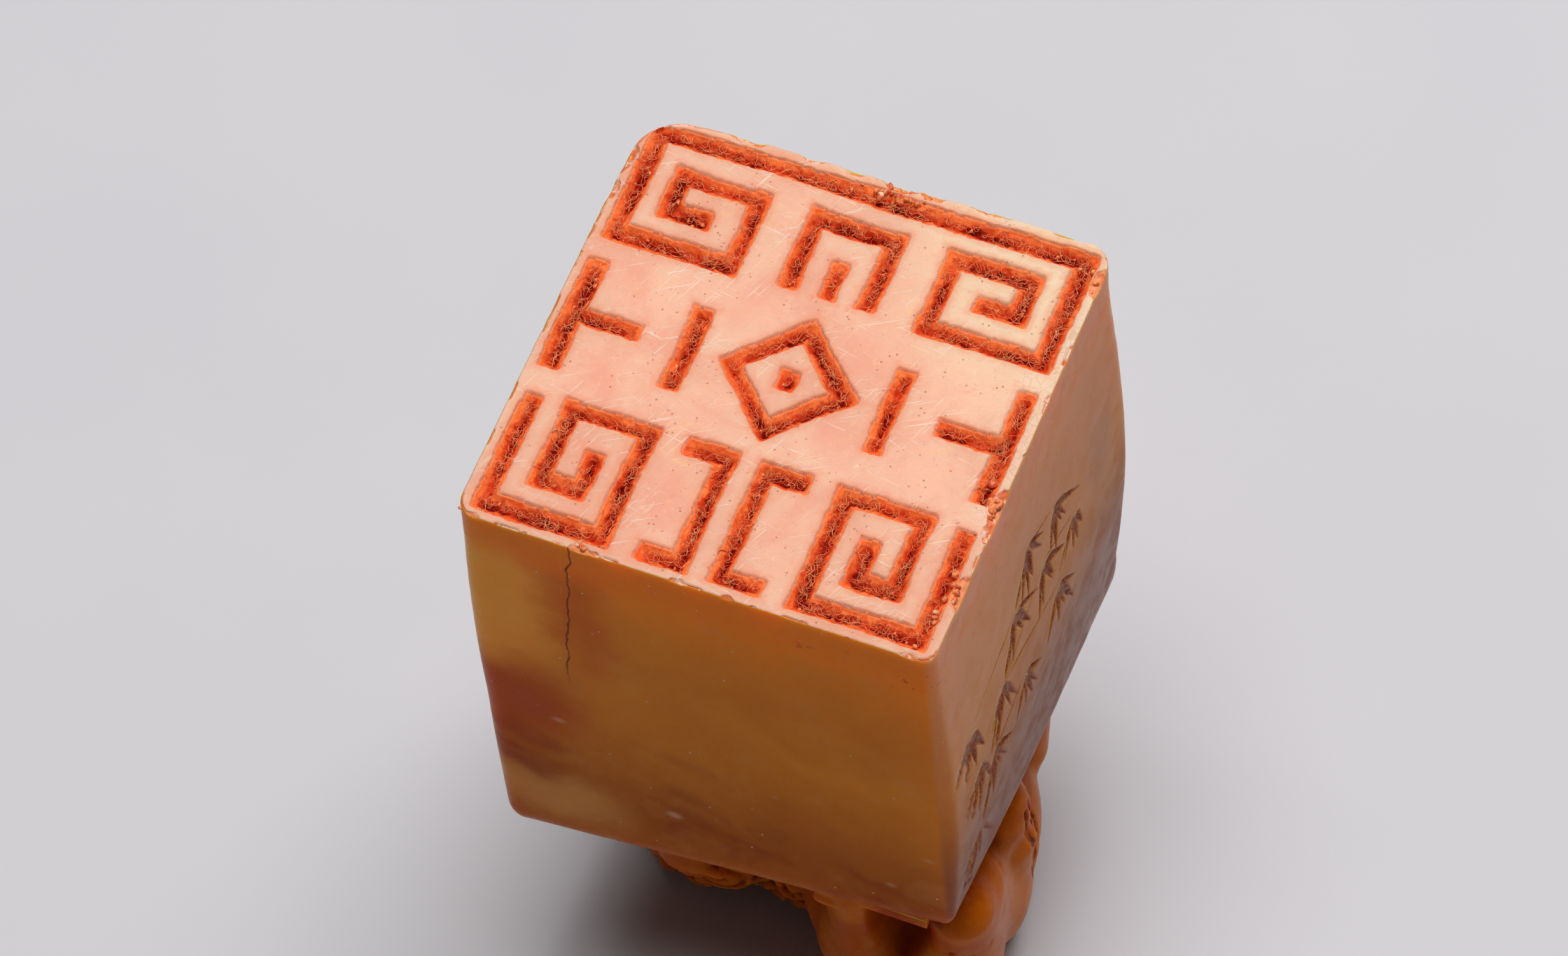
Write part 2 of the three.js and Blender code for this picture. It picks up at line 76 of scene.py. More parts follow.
# Incised fret pattern, as in the CAD model
STROKE_PITCH = 1.655
STROKE_HALF = 0.46
STROKE_BOW = 0.05
END_RUN = 0.22
RIM_DEPTH, WALL_DEPTH, CHANNEL_DEPTH = 0.14, 0.36, 0.15
GRID_LINES = 12
LOZENGE_REACH = 2.4


def value_noise(points, cell, seed):
    """Smooth noise from -1 to 1, with bumps about one cell wide."""
    side = 32
    table = np.random.default_rng(seed).uniform(-1, 1, (side, side, side))
    scaled = np.asarray(points, float) / cell
    base = np.floor(scaled).astype(int)
    part = scaled - base
    part = part * part * (3 - 2 * part)
    total = np.zeros(len(scaled))
    for corner in product((0, 1), repeat=3):
        weights = [part[:, k] if corner[k] else 1 - part[:, k] for k in range(3)]
        at = (base + np.array(corner)) % side
        total += weights[0] * weights[1] * weights[2] * table[at[:, 0], at[:, 1], at[:, 2]]
    return total


def flat_noise(x, y, cell, seed):
    return value_noise(np.column_stack([x, y, np.zeros(len(x))]), cell, seed)


def smoothstep(low, high, value):
    share = np.clip((value - low) / (high - low), 0, 1)
    return share * share * (3 - 2 * share)


def soft_min(a, b, blend):
    share = np.clip(0.5 + 0.5 * (b - a) / blend, 0, 1)
    return b * (1 - share) + a * share - blend * share * (1 - share)


# Fret strokes as straight cuts: start, end, and how far each end runs on
def grid_point(column, row):
    middle = (GRID_LINES - 1) / 2
    return np.array([FACE_CENTRE_X + (column - middle) * STROKE_PITCH,
                     FACE_CENTRE_Y + (row - middle) * STROKE_PITCH])


def grid_path(*places):
    return [grid_point(*place) for place in places]


def mirrored(path):
    return [np.array([2 * FACE_CENTRE_X - p[0], p[1]]) for p in path]


def square_spiral(column, row, heading, runs):
    points = [grid_point(column, row)]
    place = np.array([column, row], float)
    direction = np.array(heading, float)
    for run in runs:
        place = place + direction * run
        points.append(grid_point(*place))
        direction = np.array([-direction[1], direction[0]])
    return points


def fret_paths():
    last = GRID_LINES - 1
    middle = last / 2
    top_half = square_spiral(middle, last, (-1, 0), (middle, 3, 3, 2, 2, 1, 1))
    top_whole = top_half[::-1] + mirrored(top_half)[1:]
    gate = grid_path((middle - 1, 8), (middle - 1, 10), (middle + 1, 10), (middle + 1, 8))
    ticks = [grid_path((middle, 8), (middle, 8.9)), grid_path((middle, 5.3), (middle, 5.7))]
    open_paths = [top_whole, gate, *ticks]
    post = grid_path((0, 4), (0, 7))
    arm = grid_path((0, middle), (1.6, middle))
    bar = grid_path((2.9, 4.4), (2.9, 6.6))
    bottom = square_spiral(0, 3, (0, -1), (3, 3, 3, 2, 2, 1, 1))
    bracket = grid_path((4, 0), (5, 0), (5, 3), (4, 3))
    for path in (post, arm, bar, bottom, bracket):
        open_paths += [path, mirrored(path)]
    centre = grid_point(middle, middle)
    turns = [k * math.pi / 2 for k in range(5)]
    return open_paths, [centre + LOZENGE_REACH * np.array([math.cos(a), math.sin(a)]) for a in turns]


def fret_cuts():
    open_paths, closed_path = fret_paths()
    cuts = []
    for path in open_paths:
        for k in range(len(path) - 1):
            start_run = END_RUN if k == 0 else STROKE_HALF
            end_run = END_RUN if k == len(path) - 2 else STROKE_HALF
            cuts.append((path[k], path[k + 1], start_run, end_run))
    for start, end in zip(closed_path, closed_path[1:]):
        cuts.append((start, end, STROKE_HALF, STROKE_HALF))
    return cuts


FRET_CUTS = fret_cuts()


def pick_strokes(rng, count):
    """Numbers of strokes drawn by chance, the longer ones more often."""
    lengths = np.array([np.linalg.norm(end - start) for start, end, _, _ in FRET_CUTS])
    return rng.choice(len(FRET_CUTS), count, p=lengths / lengths.sum())


def reach_into_strokes(x, y):
    """How far inside the nearest stroke's edge a point of the face lies; negative on the land."""
    reach = np.full(len(x), FAR_OFF)
    for number, (start, end, start_run, end_run) in enumerate(FRET_CUTS):
        length = np.linalg.norm(end - start)
        along = (end - start) / length
        s = (x - start[0]) * along[0] + (y - start[1]) * along[1]
        t = (y - start[1]) * along[0] - (x - start[0]) * along[1]
        bow = STROKE_BOW * math.sin(number * 2.4) * np.sin(np.pi * np.clip(s / length, 0, 1))
        half = STROKE_HALF + 0.035 * math.sin(number * 1.7 + 1) + 0.02 * np.sin(s * 0.9 + number)
        ends = np.minimum(s + start_run, length + end_run - s)
        reach = np.maximum(reach, soft_min(half - np.abs(t - bow), ends, 0.16))
    return reach + 0.035 * flat_noise(x, y, 0.55, 11) + 0.035 * flat_noise(x, y, 0.19, 12)


def stroke_depth(reach, x, y):
    """Depth of the cut: a sharp rim, sloping walls and a torn channel along the middle."""
    rough = flat_noise(x, y, 0.13, 21)
    uneven = flat_noise(x, y, 0.7, 22)
    rim = RIM_DEPTH * smoothstep(-0.03, 0.05, reach)
    wall = WALL_DEPTH * np.clip((reach - 0.02) / 0.32, 0, 1) ** 0.9
    channel = (CHANNEL_DEPTH + 0.1 * uneven) * smoothstep(0.27, 0.42, reach + 0.06 * rough)
    return rim + wall + channel + 0.04 * rough * smoothstep(0.03, 0.15, reach)


# Rounded square outline of the shaft
def corner_radius(x, y):
    radius = np.zeros(len(x))
    for (side_x, side_y), value in CORNER_RADII.items():
        here = (np.where(x >= 0, 1, -1) == side_x) & (np.where(y >= 0, 1, -1) == side_y)
        radius[here] = value
    return radius


def on_outline(u, v):
    """Moves points of square rings, centred on the face, onto the shaft's rounded rings."""
    au, av = np.abs(u), np.abs(v)
    reach = np.maximum(au, av)
    radius = np.maximum(corner_radius(u, v) - (FACE_HALF - reach), 0)
    small = np.minimum(au, av)
    over = np.clip(small - (reach - radius), 0, None)
    turn = np.where(radius > 0, over / np.maximum(radius, 1e-9), 0) * math.pi / 4
    long_part = reach - radius + radius * np.cos(turn)
    short_part = np.where(over > 0, reach - radius + radius * np.sin(turn), small)
    x = np.where(au >= av, long_part, short_part) * np.sign(u)
    y = np.where(au >= av, short_part, long_part) * np.sign(v)
    return x + FACE_CENTRE_X, y + FACE_CENTRE_Y


def outline_inset(x, y):
    """Distance inside the outline, and the outward direction in plan."""
    px, py = x - FACE_CENTRE_X, y - FACE_CENTRE_Y
    radius = corner_radius(px, py)
    qx, qy = np.abs(px) - (FACE_HALF - radius), np.abs(py) - (FACE_HALF - radius)
    outside = np.hypot(np.maximum(qx, 0), np.maximum(qy, 0))
    inset = radius - outside - np.minimum(np.maximum(qx, qy), 0)
    in_corner = (qx > 0) & (qy > 0)
    nx = np.where(in_corner, qx / np.maximum(outside, 1e-9), (qx >= qy) * 1.0)
    ny = np.where(in_corner, qy / np.maximum(outside, 1e-9), (qx < qy) * 1.0)
    return inset, nx * np.sign(px), ny * np.sign(py)


def share_to_right(x):
    return (x - FACE_CENTRE_X) / (2 * FACE_HALF) + 0.5


def share_to_back(y):
    return (y - FACE_CENTRE_Y) / (2 * FACE_HALF) + 0.5


def shoulder_depth(x, y):
    along_front = (NEAR_CORNER_LIFT - LEFT_CORNER_LIFT) * (1 - share_to_right(x))
    toward_back = NEAR_CORNER_LIFT * share_to_back(y)
    return SHOULDER_DEPTH - np.maximum(NEAR_CORNER_LIFT - along_front - toward_back, 0)


def shoulder_rise(x, y):
    return SHOULDER_RISE + BACK_CORNER_EXTRA_RISE * (share_to_right(x) * share_to_back(y)) ** 3


def side_rows(rim_u, rim_v):
    """Rings of points down the shaft's sides, round its shoulder and in to its core."""
    def ring(inset):
        scale = (FACE_HALF - inset) / FACE_HALF
        x, y = on_outline(rim_u * scale, rim_v * scale)
        return x - LEFT_FLARE * (1 - share_to_right(x)), y

    rim_x, rim_y = on_outline(rim_u, rim_v)
    to_right, to_back = share_to_right(rim_x), share_to_back(rim_y)
    deep, rise = shoulder_depth(rim_x, rim_y), shoulder_rise(rim_x, rim_y)
    side_length = SHOULDER_DEPTH - SHOULDER_RISE
    rows = []
    for drop in np.concatenate([RIM_STEPS, np.arange(0.5, side_length, GRID_STEP), [side_length]]):
        share = drop / side_length
        swell = SIDE_SWELL * math.sin(math.pi * share ** 1.3)
        flare = LEFT_FLARE * (1 - (1 - share) ** 4)
        x = rim_x + swell * to_right - flare * (1 - to_right)
        rows.append(np.column_stack([x, rim_y + swell * to_back, FACE_Z - share * (deep - rise)]))
    for turn in np.linspace(math.pi / 2, 0, 12)[1:]:
        x, y = ring(SHOULDER_INSET * (1 - math.sin(turn)))
        rows.append(np.column_stack([x, y, FACE_Z - deep + rise * (1 - math.cos(turn))]))
    for share in (0.35, 0.7, 1.0):
        x, y = ring(SHOULDER_INSET + share * (CORE_INSET - SHOULDER_INSET))
        rows.append(np.column_stack([x, y, (FACE_Z - deep) * (1 - share) + SHAFT_BOTTOM_Z * share]))
    return rows


def shaft_base():
    """Vertices and faces of the plain shaft, before cutting and wear."""
    half = np.concatenate([[0], RIM_STEPS, np.arange(0.5, FACE_HALF + 1e-6, GRID_STEP)])
    lines = np.concatenate([-FACE_HALF + half, (FACE_HALF - half)[::-1][1:]])
    n = len(lines)
    grid_u, grid_v = [a.ravel() for a in np.meshgrid(lines, lines, indexing="ij")]
    top_x, top_y = on_outline(grid_u, grid_v)
    points = [np.column_stack([top_x, top_y, np.full(n * n, FACE_Z)])]
    number = np.arange(n * n).reshape(n, n)
    squares = list(product(range(n - 1), repeat=2))
    faces = [(number[i, j], number[i + 1, j], number[i + 1, j + 1], number[i, j + 1]) for i, j in squares]
    rim = np.concatenate([number[:-1, 0], number[-1, :-1], number[:0:-1, -1], number[0, :0:-1]])
    previous = rim
    for row in side_rows(grid_u[rim], grid_v[rim]):
        current = np.arange(len(rim)) + sum(len(p) for p in points)
        points.append(row)
        faces += list(zip(previous, current, np.roll(current, -1), np.roll(previous, -1)))
        previous = current
    start = sum(len(p) for p in points)
    scale = (FACE_HALF - CORE_INSET) / FACE_HALF
    base_x, base_y = on_outline(grid_u * scale, grid_v * scale)
    base_x -= LEFT_FLARE * (1 - share_to_right(base_x))
    inner = np.ones(n * n, bool)
    inner[rim] = False
    points.append(np.column_stack([base_x, base_y, np.full(n * n, SHAFT_BOTTOM_Z)])[inner])
    below = np.zeros(n * n, int)
    below[rim] = previous
    below[inner] = start + np.arange(inner.sum())
    below = below.reshape(n, n)
    faces += [(below[i, j], below[i, j + 1], below[i + 1, j + 1], below[i + 1, j]) for i, j in squares]
    return np.concatenate(points), faces


# Spray of bamboo scratched into the right side
STEM_JOINTS = [(-8.3, 18.6), (-7.0, 22.4), (-5.6, 26.0), (-4.2, 29.3), (-2.6, 32.2), (-0.9, 34.4)]
LEAF_CLUSTERS = [(-7.2, 22.2, -1), (-5.7, 26.1, 1), (-4.3, 29.4, -1), (-2.7, 32.3, 1), (-0.9, 34.6, 1),
                 (0.4, 31.2, 1), (1.9, 33.4, 1), (-7.7, 31.0, -1), (1.6, 27.6, 1), (-2.2, 26.6, 1),
                 (-6.9, 27.4, -1), (3.6, 30.2, -1)]
TWIGS = [(-2.7, 32.3, -7.6, 31.2), (-4.2, 29.3, 0.4, 31.4), (-0.9, 34.4, 1.9, 33.4),
         (-4.2, 29.3, 1.6, 27.8), (-5.6, 26.0, -2.2, 26.8), (0.4, 31.4, 3.6, 30.4)]
STEM_HALF, TWIG_HALF, JOINT_GAP = 0.2, 0.07, 0.15
SPRAY_DEPTH = 0.13


def spray_cuts():
    """Tapering cuts on the right side: y and z of both ends, greatest half width."""
    rng = np.random.default_rng(5)
    cuts = [(y0, z0 + JOINT_GAP, y1, z1 - JOINT_GAP, STEM_HALF)
            for (y0, z0), (y1, z1) in zip(STEM_JOINTS, STEM_JOINTS[1:])]
    for y0, z0, hand in LEAF_CLUSTERS:
        for k in range(5):
            angle = -math.pi / 2 + hand * (0.2 + 0.3 * (k - 2)) + rng.uniform(-0.12, 0.12)
            length = rng.uniform(1.9, 3.6)
            start = rng.uniform(0.1, 0.5)
            ay, az = math.cos(angle), math.sin(angle)
            cuts.append((y0 + start * ay, z0 + start * az, y0 + length * ay, z0 + length * az,
                         rng.uniform(0.18, 0.34)))
    return cuts + [(*twig, TWIG_HALF) for twig in TWIGS]


SPRAY_CUTS = spray_cuts()


def reach_into_spray(y, z):
    reach = np.full(len(y), FAR_OFF)
    for y0, z0, y1, z1, half in SPRAY_CUTS:
        length = math.hypot(y1 - y0, z1 - z0)
        ay, az = (y1 - y0) / length, (z1 - z0) / length
        s = ((y - y0) * ay + (z - z0) * az) / length
        t = np.abs((z - z0) * ay - (y - y0) * az)
        taper = np.clip(s / 0.25, 0, 1) ** 0.6 * np.clip((1 - s) / 0.75, 0, 1) ** 0.8
        inside = (s > -0.02) & (s < 1.02)
        reach = np.maximum(reach, np.where(inside, half * taper - t, -0.3))
    return reach + 0.02 * flat_noise(y, z, 0.2, 31)


# Edge wear and chips: side, place along it, radius and depth of each notch
SIDES = {"back": (0, 1), "right": (1, 0), "front": (0, -1), "left": (-1, 0)}
NOTCHES = [("back", 0.9, 1.5, 0.42), ("back", 2.3, 0.9, 0.3), ("back", -6.0, 1.6, 0.3),
           ("back", -2.9, 1.1, 0.26), ("back", 4.6, 1.9, 0.3), ("left", 5.9, 1.0, 0.34),
           ("left", 7.6, 1.4, 0.42), ("left", 3.9, 0.7, 0.2), ("right", 8.3, 1.2, 0.42),
           ("right", -2.6, 1.4, 0.5), ("right", -3.8, 0.7, 0.34), ("right", -6.7, 1.3, 0.46),
           ("front", -4.7, 0.7, 0.3), ("front", -4.1, 0.4, 0.2), ("front", -0.6, 0.5, 0.2),
           ("front", 1.5, 0.45, 0.2), ("front", 9.0, 0.6, 0.22), ("front", -9.3, 0.9, 0.24)]
WORN_CORNER = (-9.6, 9.6)
RIM_RADIUS = 0.1
WEAR_BAND = 2.2
SPRAY_SIDE_X = 9.0
# How far the sides stay inside the CAD sides, for their waves
SIDE_ALLOWANCE = 0.045


def on_edge(side, along):
    """Place on the face's edge, and the way out from it."""
    ox, oy = SIDES[side]
    x = FACE_CENTRE_X + (along if oy else ox * FACE_HALF)
    y = FACE_CENTRE_Y + (oy * FACE_HALF if oy else along)
    return np.array([x, y, FACE_Z]), np.array([ox, oy, 0.0])


def wear_edges(points):
    """Rounds the face's edges unevenly, flakes them and breaks notches out of them."""
    inset, nx, ny = outline_inset(points[:, 0], points[:, 1])
    near = (points[:, 2] > FACE_Z - WEAR_BAND) & (inset < WEAR_BAND)
    rim = points[near]
    inset, nx, ny = inset[near], nx[near], ny[near]
    out_way = np.column_stack([nx, ny, np.zeros(len(rim))])
    worn_corner = np.exp(-((rim[:, 0] - WORN_CORNER[0]) ** 2 + (rim[:, 1] - WORN_CORNER[1]) ** 2) / 8)
    radius = RIM_RADIUS + 0.04 * value_noise(rim, 1.3, 41) + 0.03 * value_noise(rim, 0.3, 42)
    radius = np.clip(radius + 0.55 * worn_corner, 0.04, 1.0)
    out, up = radius - inset, rim[:, 2] - FACE_Z + radius
    distance = np.hypot(out, up)
    beyond = (out > 0) & (up > 0) & (distance > radius)
    shrink = np.where(beyond, radius / np.maximum(distance, 1e-9) - 1, 0.0)
    worn = rim + out_way * (out * shrink)[:, None] + UP * (up * shrink)[:, None]
    strength = 0.3 + 0.7 * np.clip(ny, 0, 1) + 0.15 * np.clip(nx, 0, 1)
    flakes = smoothstep(0.34, 0.46, value_noise(rim, 1.1, 45)) * (0.18 + 0.14 * value_noise(rim, 0.4, 46))
    flakes += smoothstep(0.5, 0.6, value_noise(rim, 0.3, 47)) * 0.07
    flakes = flakes * strength * (1 - 0.8 * worn_corner)
    from_edge = inset + (FACE_Z - worn[:, 2])
    push = np.clip(flakes + 0.1 - from_edge, 0, None) / 2 * (flakes > 0.01)
    worn -= (out_way + UP) * push[:, None]
    rough = 0.05 * value_noise(worn, 0.3, 43) + 0.03 * value_noise(worn, 0.11, 44)
    rng = np.random.default_rng(9)
    for side, along, chip_radius, depth in NOTCHES:
        place, out_of = on_edge(side, along)
        lean = rng.uniform(0.5, 0.95)
        centre = place + (out_of * math.sin(lean) + UP * math.cos(lean)) * (chip_radius - depth)
        arm = worn - centre
        length = np.linalg.norm(arm * (1.0, 1.0, 1.15), axis=1)
        inside = length < chip_radius + rough
        worn[inside] += arm[inside] / length[inside, None] * (chip_radius + rough - length)[inside, None]
    moved = np.zeros(len(points))
    moved[near] = np.linalg.norm(worn - rim, axis=1)
    whole = points.copy()
    whole[near] = worn
    return whole, moved


def new_mesh(name, points, faces):
    mesh = bpy.data.meshes.new(name)
    mesh.from_pydata(points.tolist(), [], [tuple(int(i) for i in f) for f in faces])
    return mesh


def refined(points, faces, picks):
    """Splits the faces that each pick chooses by their middle into smaller ones."""
    mesh = new_mesh("refined", points, faces)
    work = bmesh.new()
    work.from_mesh(mesh)
    bpy.data.meshes.remove(mesh)
    for pick in picks:
        work.faces.ensure_lookup_table()
        chosen = pick(np.array([f.calc_center_median() for f in work.faces]))
        edges = {e for f, take in zip(work.faces, chosen) if take for e in f.edges}
        bmesh.ops.subdivide_edges(work, edges=list(edges), cuts=FINE_CUTS, use_grid_fill=True)
    work.verts.index_update()
    new_points = np.array([v.co for v in work.verts])
    new_faces = [tuple(v.index for v in f.verts) for f in work.faces]
    work.free()
    return new_points, new_faces


def near_strokes(middles):
    x, y, z = middles.T
    inset, _, _ = outline_inset(x, y)
    on_face = z > FACE_Z - 0.01
    at_rim = (z > FACE_Z - 0.5) & (inset < 0.6)
    return (on_face & (reach_into_strokes(x, y) > -0.22)) | at_rim


def near_spray(middles):
    x, y, z = middles.T
    return (x > SPRAY_SIDE_X) & (np.abs(y) < 8) & (reach_into_spray(y, z) > -0.2)


def make_object(name, points, faces):
    mesh = new_mesh(name, points * MM, faces)
    mesh.validate()
    mesh.polygons.foreach_set("use_smooth", [True] * len(mesh.polygons))
    made = bpy.data.objects.new(name, mesh)
    bpy.context.scene.collection.objects.link(made)
    return made


def add_attribute(piece, name, values):
    layer = piece.data.attributes.new(name, "FLOAT", "POINT")
    layer.data.foreach_set("value", np.ascontiguousarray(values, dtype=np.float32))


def shell(top, bottom, faces):
    """Closed skin between two matching sheets of points, and which points it uses."""
    used = np.unique(np.concatenate([np.array(f) for f in faces]))
    number = {int(old): k for k, old in enumerate(used)}
    count = len(used)
    upper = [tuple(number[int(i)] for i in f) for f in faces]
    edges = set()
    for face in upper:
        edges.update(zip(face, face[1:] + face[:1]))
    walls = [(b, a, a + count, b + count) for a, b in edges if (b, a) not in edges]
    lower = [tuple(i + count for i in reversed(f)) for f in upper]
    return np.concatenate([top[used], bottom[used]]), upper + lower + walls, used


def build_shaft():
    points, faces = refined(*shaft_base(), (near_strokes, near_spray))
    x, y, z = points.T
    on_face = z > FACE_Z - 1e-4
    reach = np.where(on_face, reach_into_strokes(x, y), FAR_OFF)
    depth = np.where(reach > -0.03, stroke_depth(reach, x, y), 0)
    inset, nx, ny = outline_inset(x, y)
    right = (x > SPRAY_SIDE_X) & (z < FACE_Z - 1.5) & (nx > 0.9)
    spray = np.where(right, reach_into_spray(y, z), FAR_OFF)
    spray_depth = SPRAY_DEPTH * smoothstep(-0.03, 0.12, spray) * (1 + 0.3 * value_noise(points, 0.25, 53))
    waves = np.where(on_face, 0, 0.03 * value_noise(points, 3.1, 51) + 0.012 * value_noise(points, 0.9, 52))
    pulled_in = np.clip(SIDE_ALLOWANCE + waves, 0, 1) * smoothstep(0, 2.0, FACE_Z - z) * (inset < 3)
    cut = points.copy()
    cut[:, 0] -= nx * pulled_in + spray_depth
    cut[:, 1] -= ny * pulled_in
    worn, moved = wear_edges(cut)
    worn[:, 2] = np.minimum(worn[:, 2] - depth * smoothstep(0.02, 0.12, inset), FACE_Z)
    made = make_object("stone_shaft", worn, faces)
    add_attribute(made, "reach", np.clip(reach, -3, 3))
    add_attribute(made, "wear", moved)
    add_attribute(made, "spray", np.clip(spray, -1, 1))
    add_attribute(made, "face", on_face * 1.0)
    return made, worn, faces, reach


PASTE_SKIN = 0.06


def build_paste(worn, faces, reach):
    """Dried paste lining the strokes, thick and crumbly towards the middle."""
    inside = reach > 0.015
    chosen = [f for f in faces if all(inside[i] for i in f)]
    grains = flat_noise(worn[:, 0], worn[:, 1], 0.085, 61)
    lumps = flat_noise(worn[:, 0], worn[:, 1], 0.32, 62)
    lift = 0.022 + (0.04 + 0.06 * lumps + 0.06 * grains) * smoothstep(0.05, 0.3, reach)
    top = worn.copy()
    top[:, 2] = np.minimum(top[:, 2] + np.clip(lift, 0.012, 0.2), FACE_Z)
    points, skin, used = shell(top, worn - UP * PASTE_SKIN, chosen)
    lining = make_object("seal_paste", points, skin)
    add_attribute(lining, "reach", np.tile(reach[used], 2))
    return lining


# Clots in the broken edges: side, place along it, spread, how many, size
EDGE_CLOTS = [("back", 1.3, 1.1, 26, 0.13), ("right", -2.8, 0.7, 16, 0.14), ("right", -6.8, 0.8, 18, 0.14),
              ("front", -4.5, 0.4, 9, 0.12), ("front", -0.6, 0.25, 3, 0.09), ("front", 1.5, 0.2, 3, 0.09),
              ("front", 9.1, 0.3, 5, 0.09), ("front", -9.0, 0.6, 6, 0.08), ("right", 8.4, 0.5, 6, 0.1)]
STROKE_CLOTS = 110
EDGE_CLOT_DEPTH, STROKE_CLOT_DEPTH = 0.16, 0.42


def build_crumbs():
    """Clots of paste caught in the broken places of the edges and here and there in the strokes."""
    rng = np.random.default_rng(31)
    places = []
    for side, along, spread, count, size in EDGE_CLOTS:
        for _ in range(count):
            place, out_of = on_edge(side, along + rng.normal(0, spread))
            place = place - out_of * (0.2 + abs(rng.normal(0, 0.3))) - UP * EDGE_CLOT_DEPTH
            places.append((place, size * rng.uniform(0.5, 1.3)))
    for number in pick_strokes(rng, STROKE_CLOTS):
        start, end, _, _ = FRET_CUTS[number]
        across = np.array([start[1] - end[1], end[0] - start[0]]) / np.linalg.norm(end - start)
        spot = start + (end - start) * rng.uniform(0, 1) + across * rng.uniform(-0.26, 0.26)
        places.append((np.array([*spot, FACE_Z - STROKE_CLOT_DEPTH]), rng.uniform(0.04, 0.09)))
    ball = bmesh.new()
    bmesh.ops.create_icosphere(ball, subdivisions=2, radius=1.0)
    unit = np.array([v.co for v in ball.verts])
    unit_faces = [[v.index for v in f.verts] for f in ball.faces]
    ball.free()
    points, faces = [], []
    for number, (centre, size) in enumerate(places):
        stretch = rng.uniform(0.65, 1.35, 3)
        dented = unit * (1 + 0.45 * value_noise(unit + number * 3.1, 0.7, 71))[:, None]
        clot = centre + dented * stretch * size
        clot[:, 2] = np.minimum(clot[:, 2], FACE_Z)
        faces += [[i + number * len(unit) for i in f] for f in unit_faces]
        points.append(clot)
    return make_object("paste_clots", np.concatenate(points), faces)


FIBRES_TRIED = 3000
FIBRE_RINGS = 9
FIBRE_LENGTHS, FIBRE_RADII = (0.3, 1.15), (0.009, 0.018)
FIBRE_CORNERS = (math.pi / 2, 3.665, 5.76)


def fibre_paths(rng):
    """Curly lines in plan, dropped on the strokes; only those that lie wholly in a stroke are kept."""
    chosen = pick_strokes(rng, FIBRES_TRIED)
    count = len(chosen)
    starts = np.array([FRET_CUTS[k][0] for k in chosen])
    ends = np.array([FRET_CUTS[k][1] for k in chosen])
    along = (ends - starts) / np.linalg.norm(ends - starts, axis=1)[:, None]
    across = np.column_stack([-along[:, 1], along[:, 0]])
    middle = starts + (ends - starts) * rng.uniform(0, 1, (count, 1))
    middle += across * rng.normal(0, 0.14, (count, 1))
    heading = np.arctan2(along[:, 1], along[:, 0]) + rng.normal(0, 0.8, count)
    run = rng.uniform(*FIBRE_LENGTHS, count)
    bend = rng.normal(0, 1.5, count)
    steps = np.linspace(-0.5, 0.5, FIBRE_RINGS)
    path = np.zeros((count, FIBRE_RINGS, 2))
    for k in range(1, FIBRE_RINGS):
        angle = heading + bend * steps[k] + 0.9 * np.sin(7 * steps[k] + bend * 4)
        step = (run / (FIBRE_RINGS - 1))[:, None] * np.column_stack([np.cos(angle), np.sin(angle)])
        path[:, k] = path[:, k - 1] + step
    path += (middle - path[:, FIBRE_RINGS // 2])[:, None, :]
    reach = reach_into_strokes(path[..., 0].ravel(), path[..., 1].ravel()).reshape(count, FIBRE_RINGS)
    kept = reach.min(axis=1) > 0.0
    return path[kept], reach[kept], steps


def build_fibres():
    """Fine curly fibres from brushes and cloth, stuck in the paste."""
    rng = np.random.default_rng(77)
    path, reach, steps = fibre_paths(rng)
    lying = rng.uniform(0.3, 0.85, len(path))[:, None]
    wave = 0.05 * np.sin(steps * 9 + rng.uniform(0, 6, (len(path), 1)))
    sunk = np.clip(0.1 + 0.36 * np.clip(reach / 0.34, 0, 1), 0, 0.46)
    z = np.minimum(FACE_Z - sunk * lying + wave, FACE_Z - 0.03)
    centres = np.concatenate([path, z[..., None]], axis=2)
    tangent = np.gradient(centres, axis=1)
    tangent /= np.linalg.norm(tangent, axis=2, keepdims=True)
    side = np.cross(tangent, UP)
    side /= np.linalg.norm(side, axis=2, keepdims=True)
    over = np.cross(side, tangent)
    thin_ends = np.clip(1.25 - 2 * np.abs(steps), 0.3, 1)[None, :, None]
    radius = rng.uniform(*FIBRE_RADII, (len(path), 1, 1)) * thin_ends
    ring = [centres + radius * (side * math.cos(a) + over * math.sin(a)) for a in FIBRE_CORNERS]
    points = np.stack(ring, axis=2).reshape(-1, 3)
    faces = []
    for base in range(0, len(points), FIBRE_RINGS * 3):
        last = base + 3 * (FIBRE_RINGS - 1)
        faces.append((base, base + 1, base + 2))
        for low in range(base, last, 3):
            faces += [(low + a, low + a + 3, low + (a + 1) % 3 + 3, low + (a + 1) % 3) for a in range(3)]
        faces.append((last + 2, last + 1, last))
    made = make_object("paste_fibres", points, faces)
    add_attribute(made, "tone", np.repeat(rng.uniform(0, 1, len(path)), FIBRE_RINGS * 3))
    return made


shaft, worn_points, shaft_faces, stroke_reach = build_shaft()
paste = build_paste(worn_points, shaft_faces, stroke_reach)
clots = build_crumbs()
fibres = build_fibres()


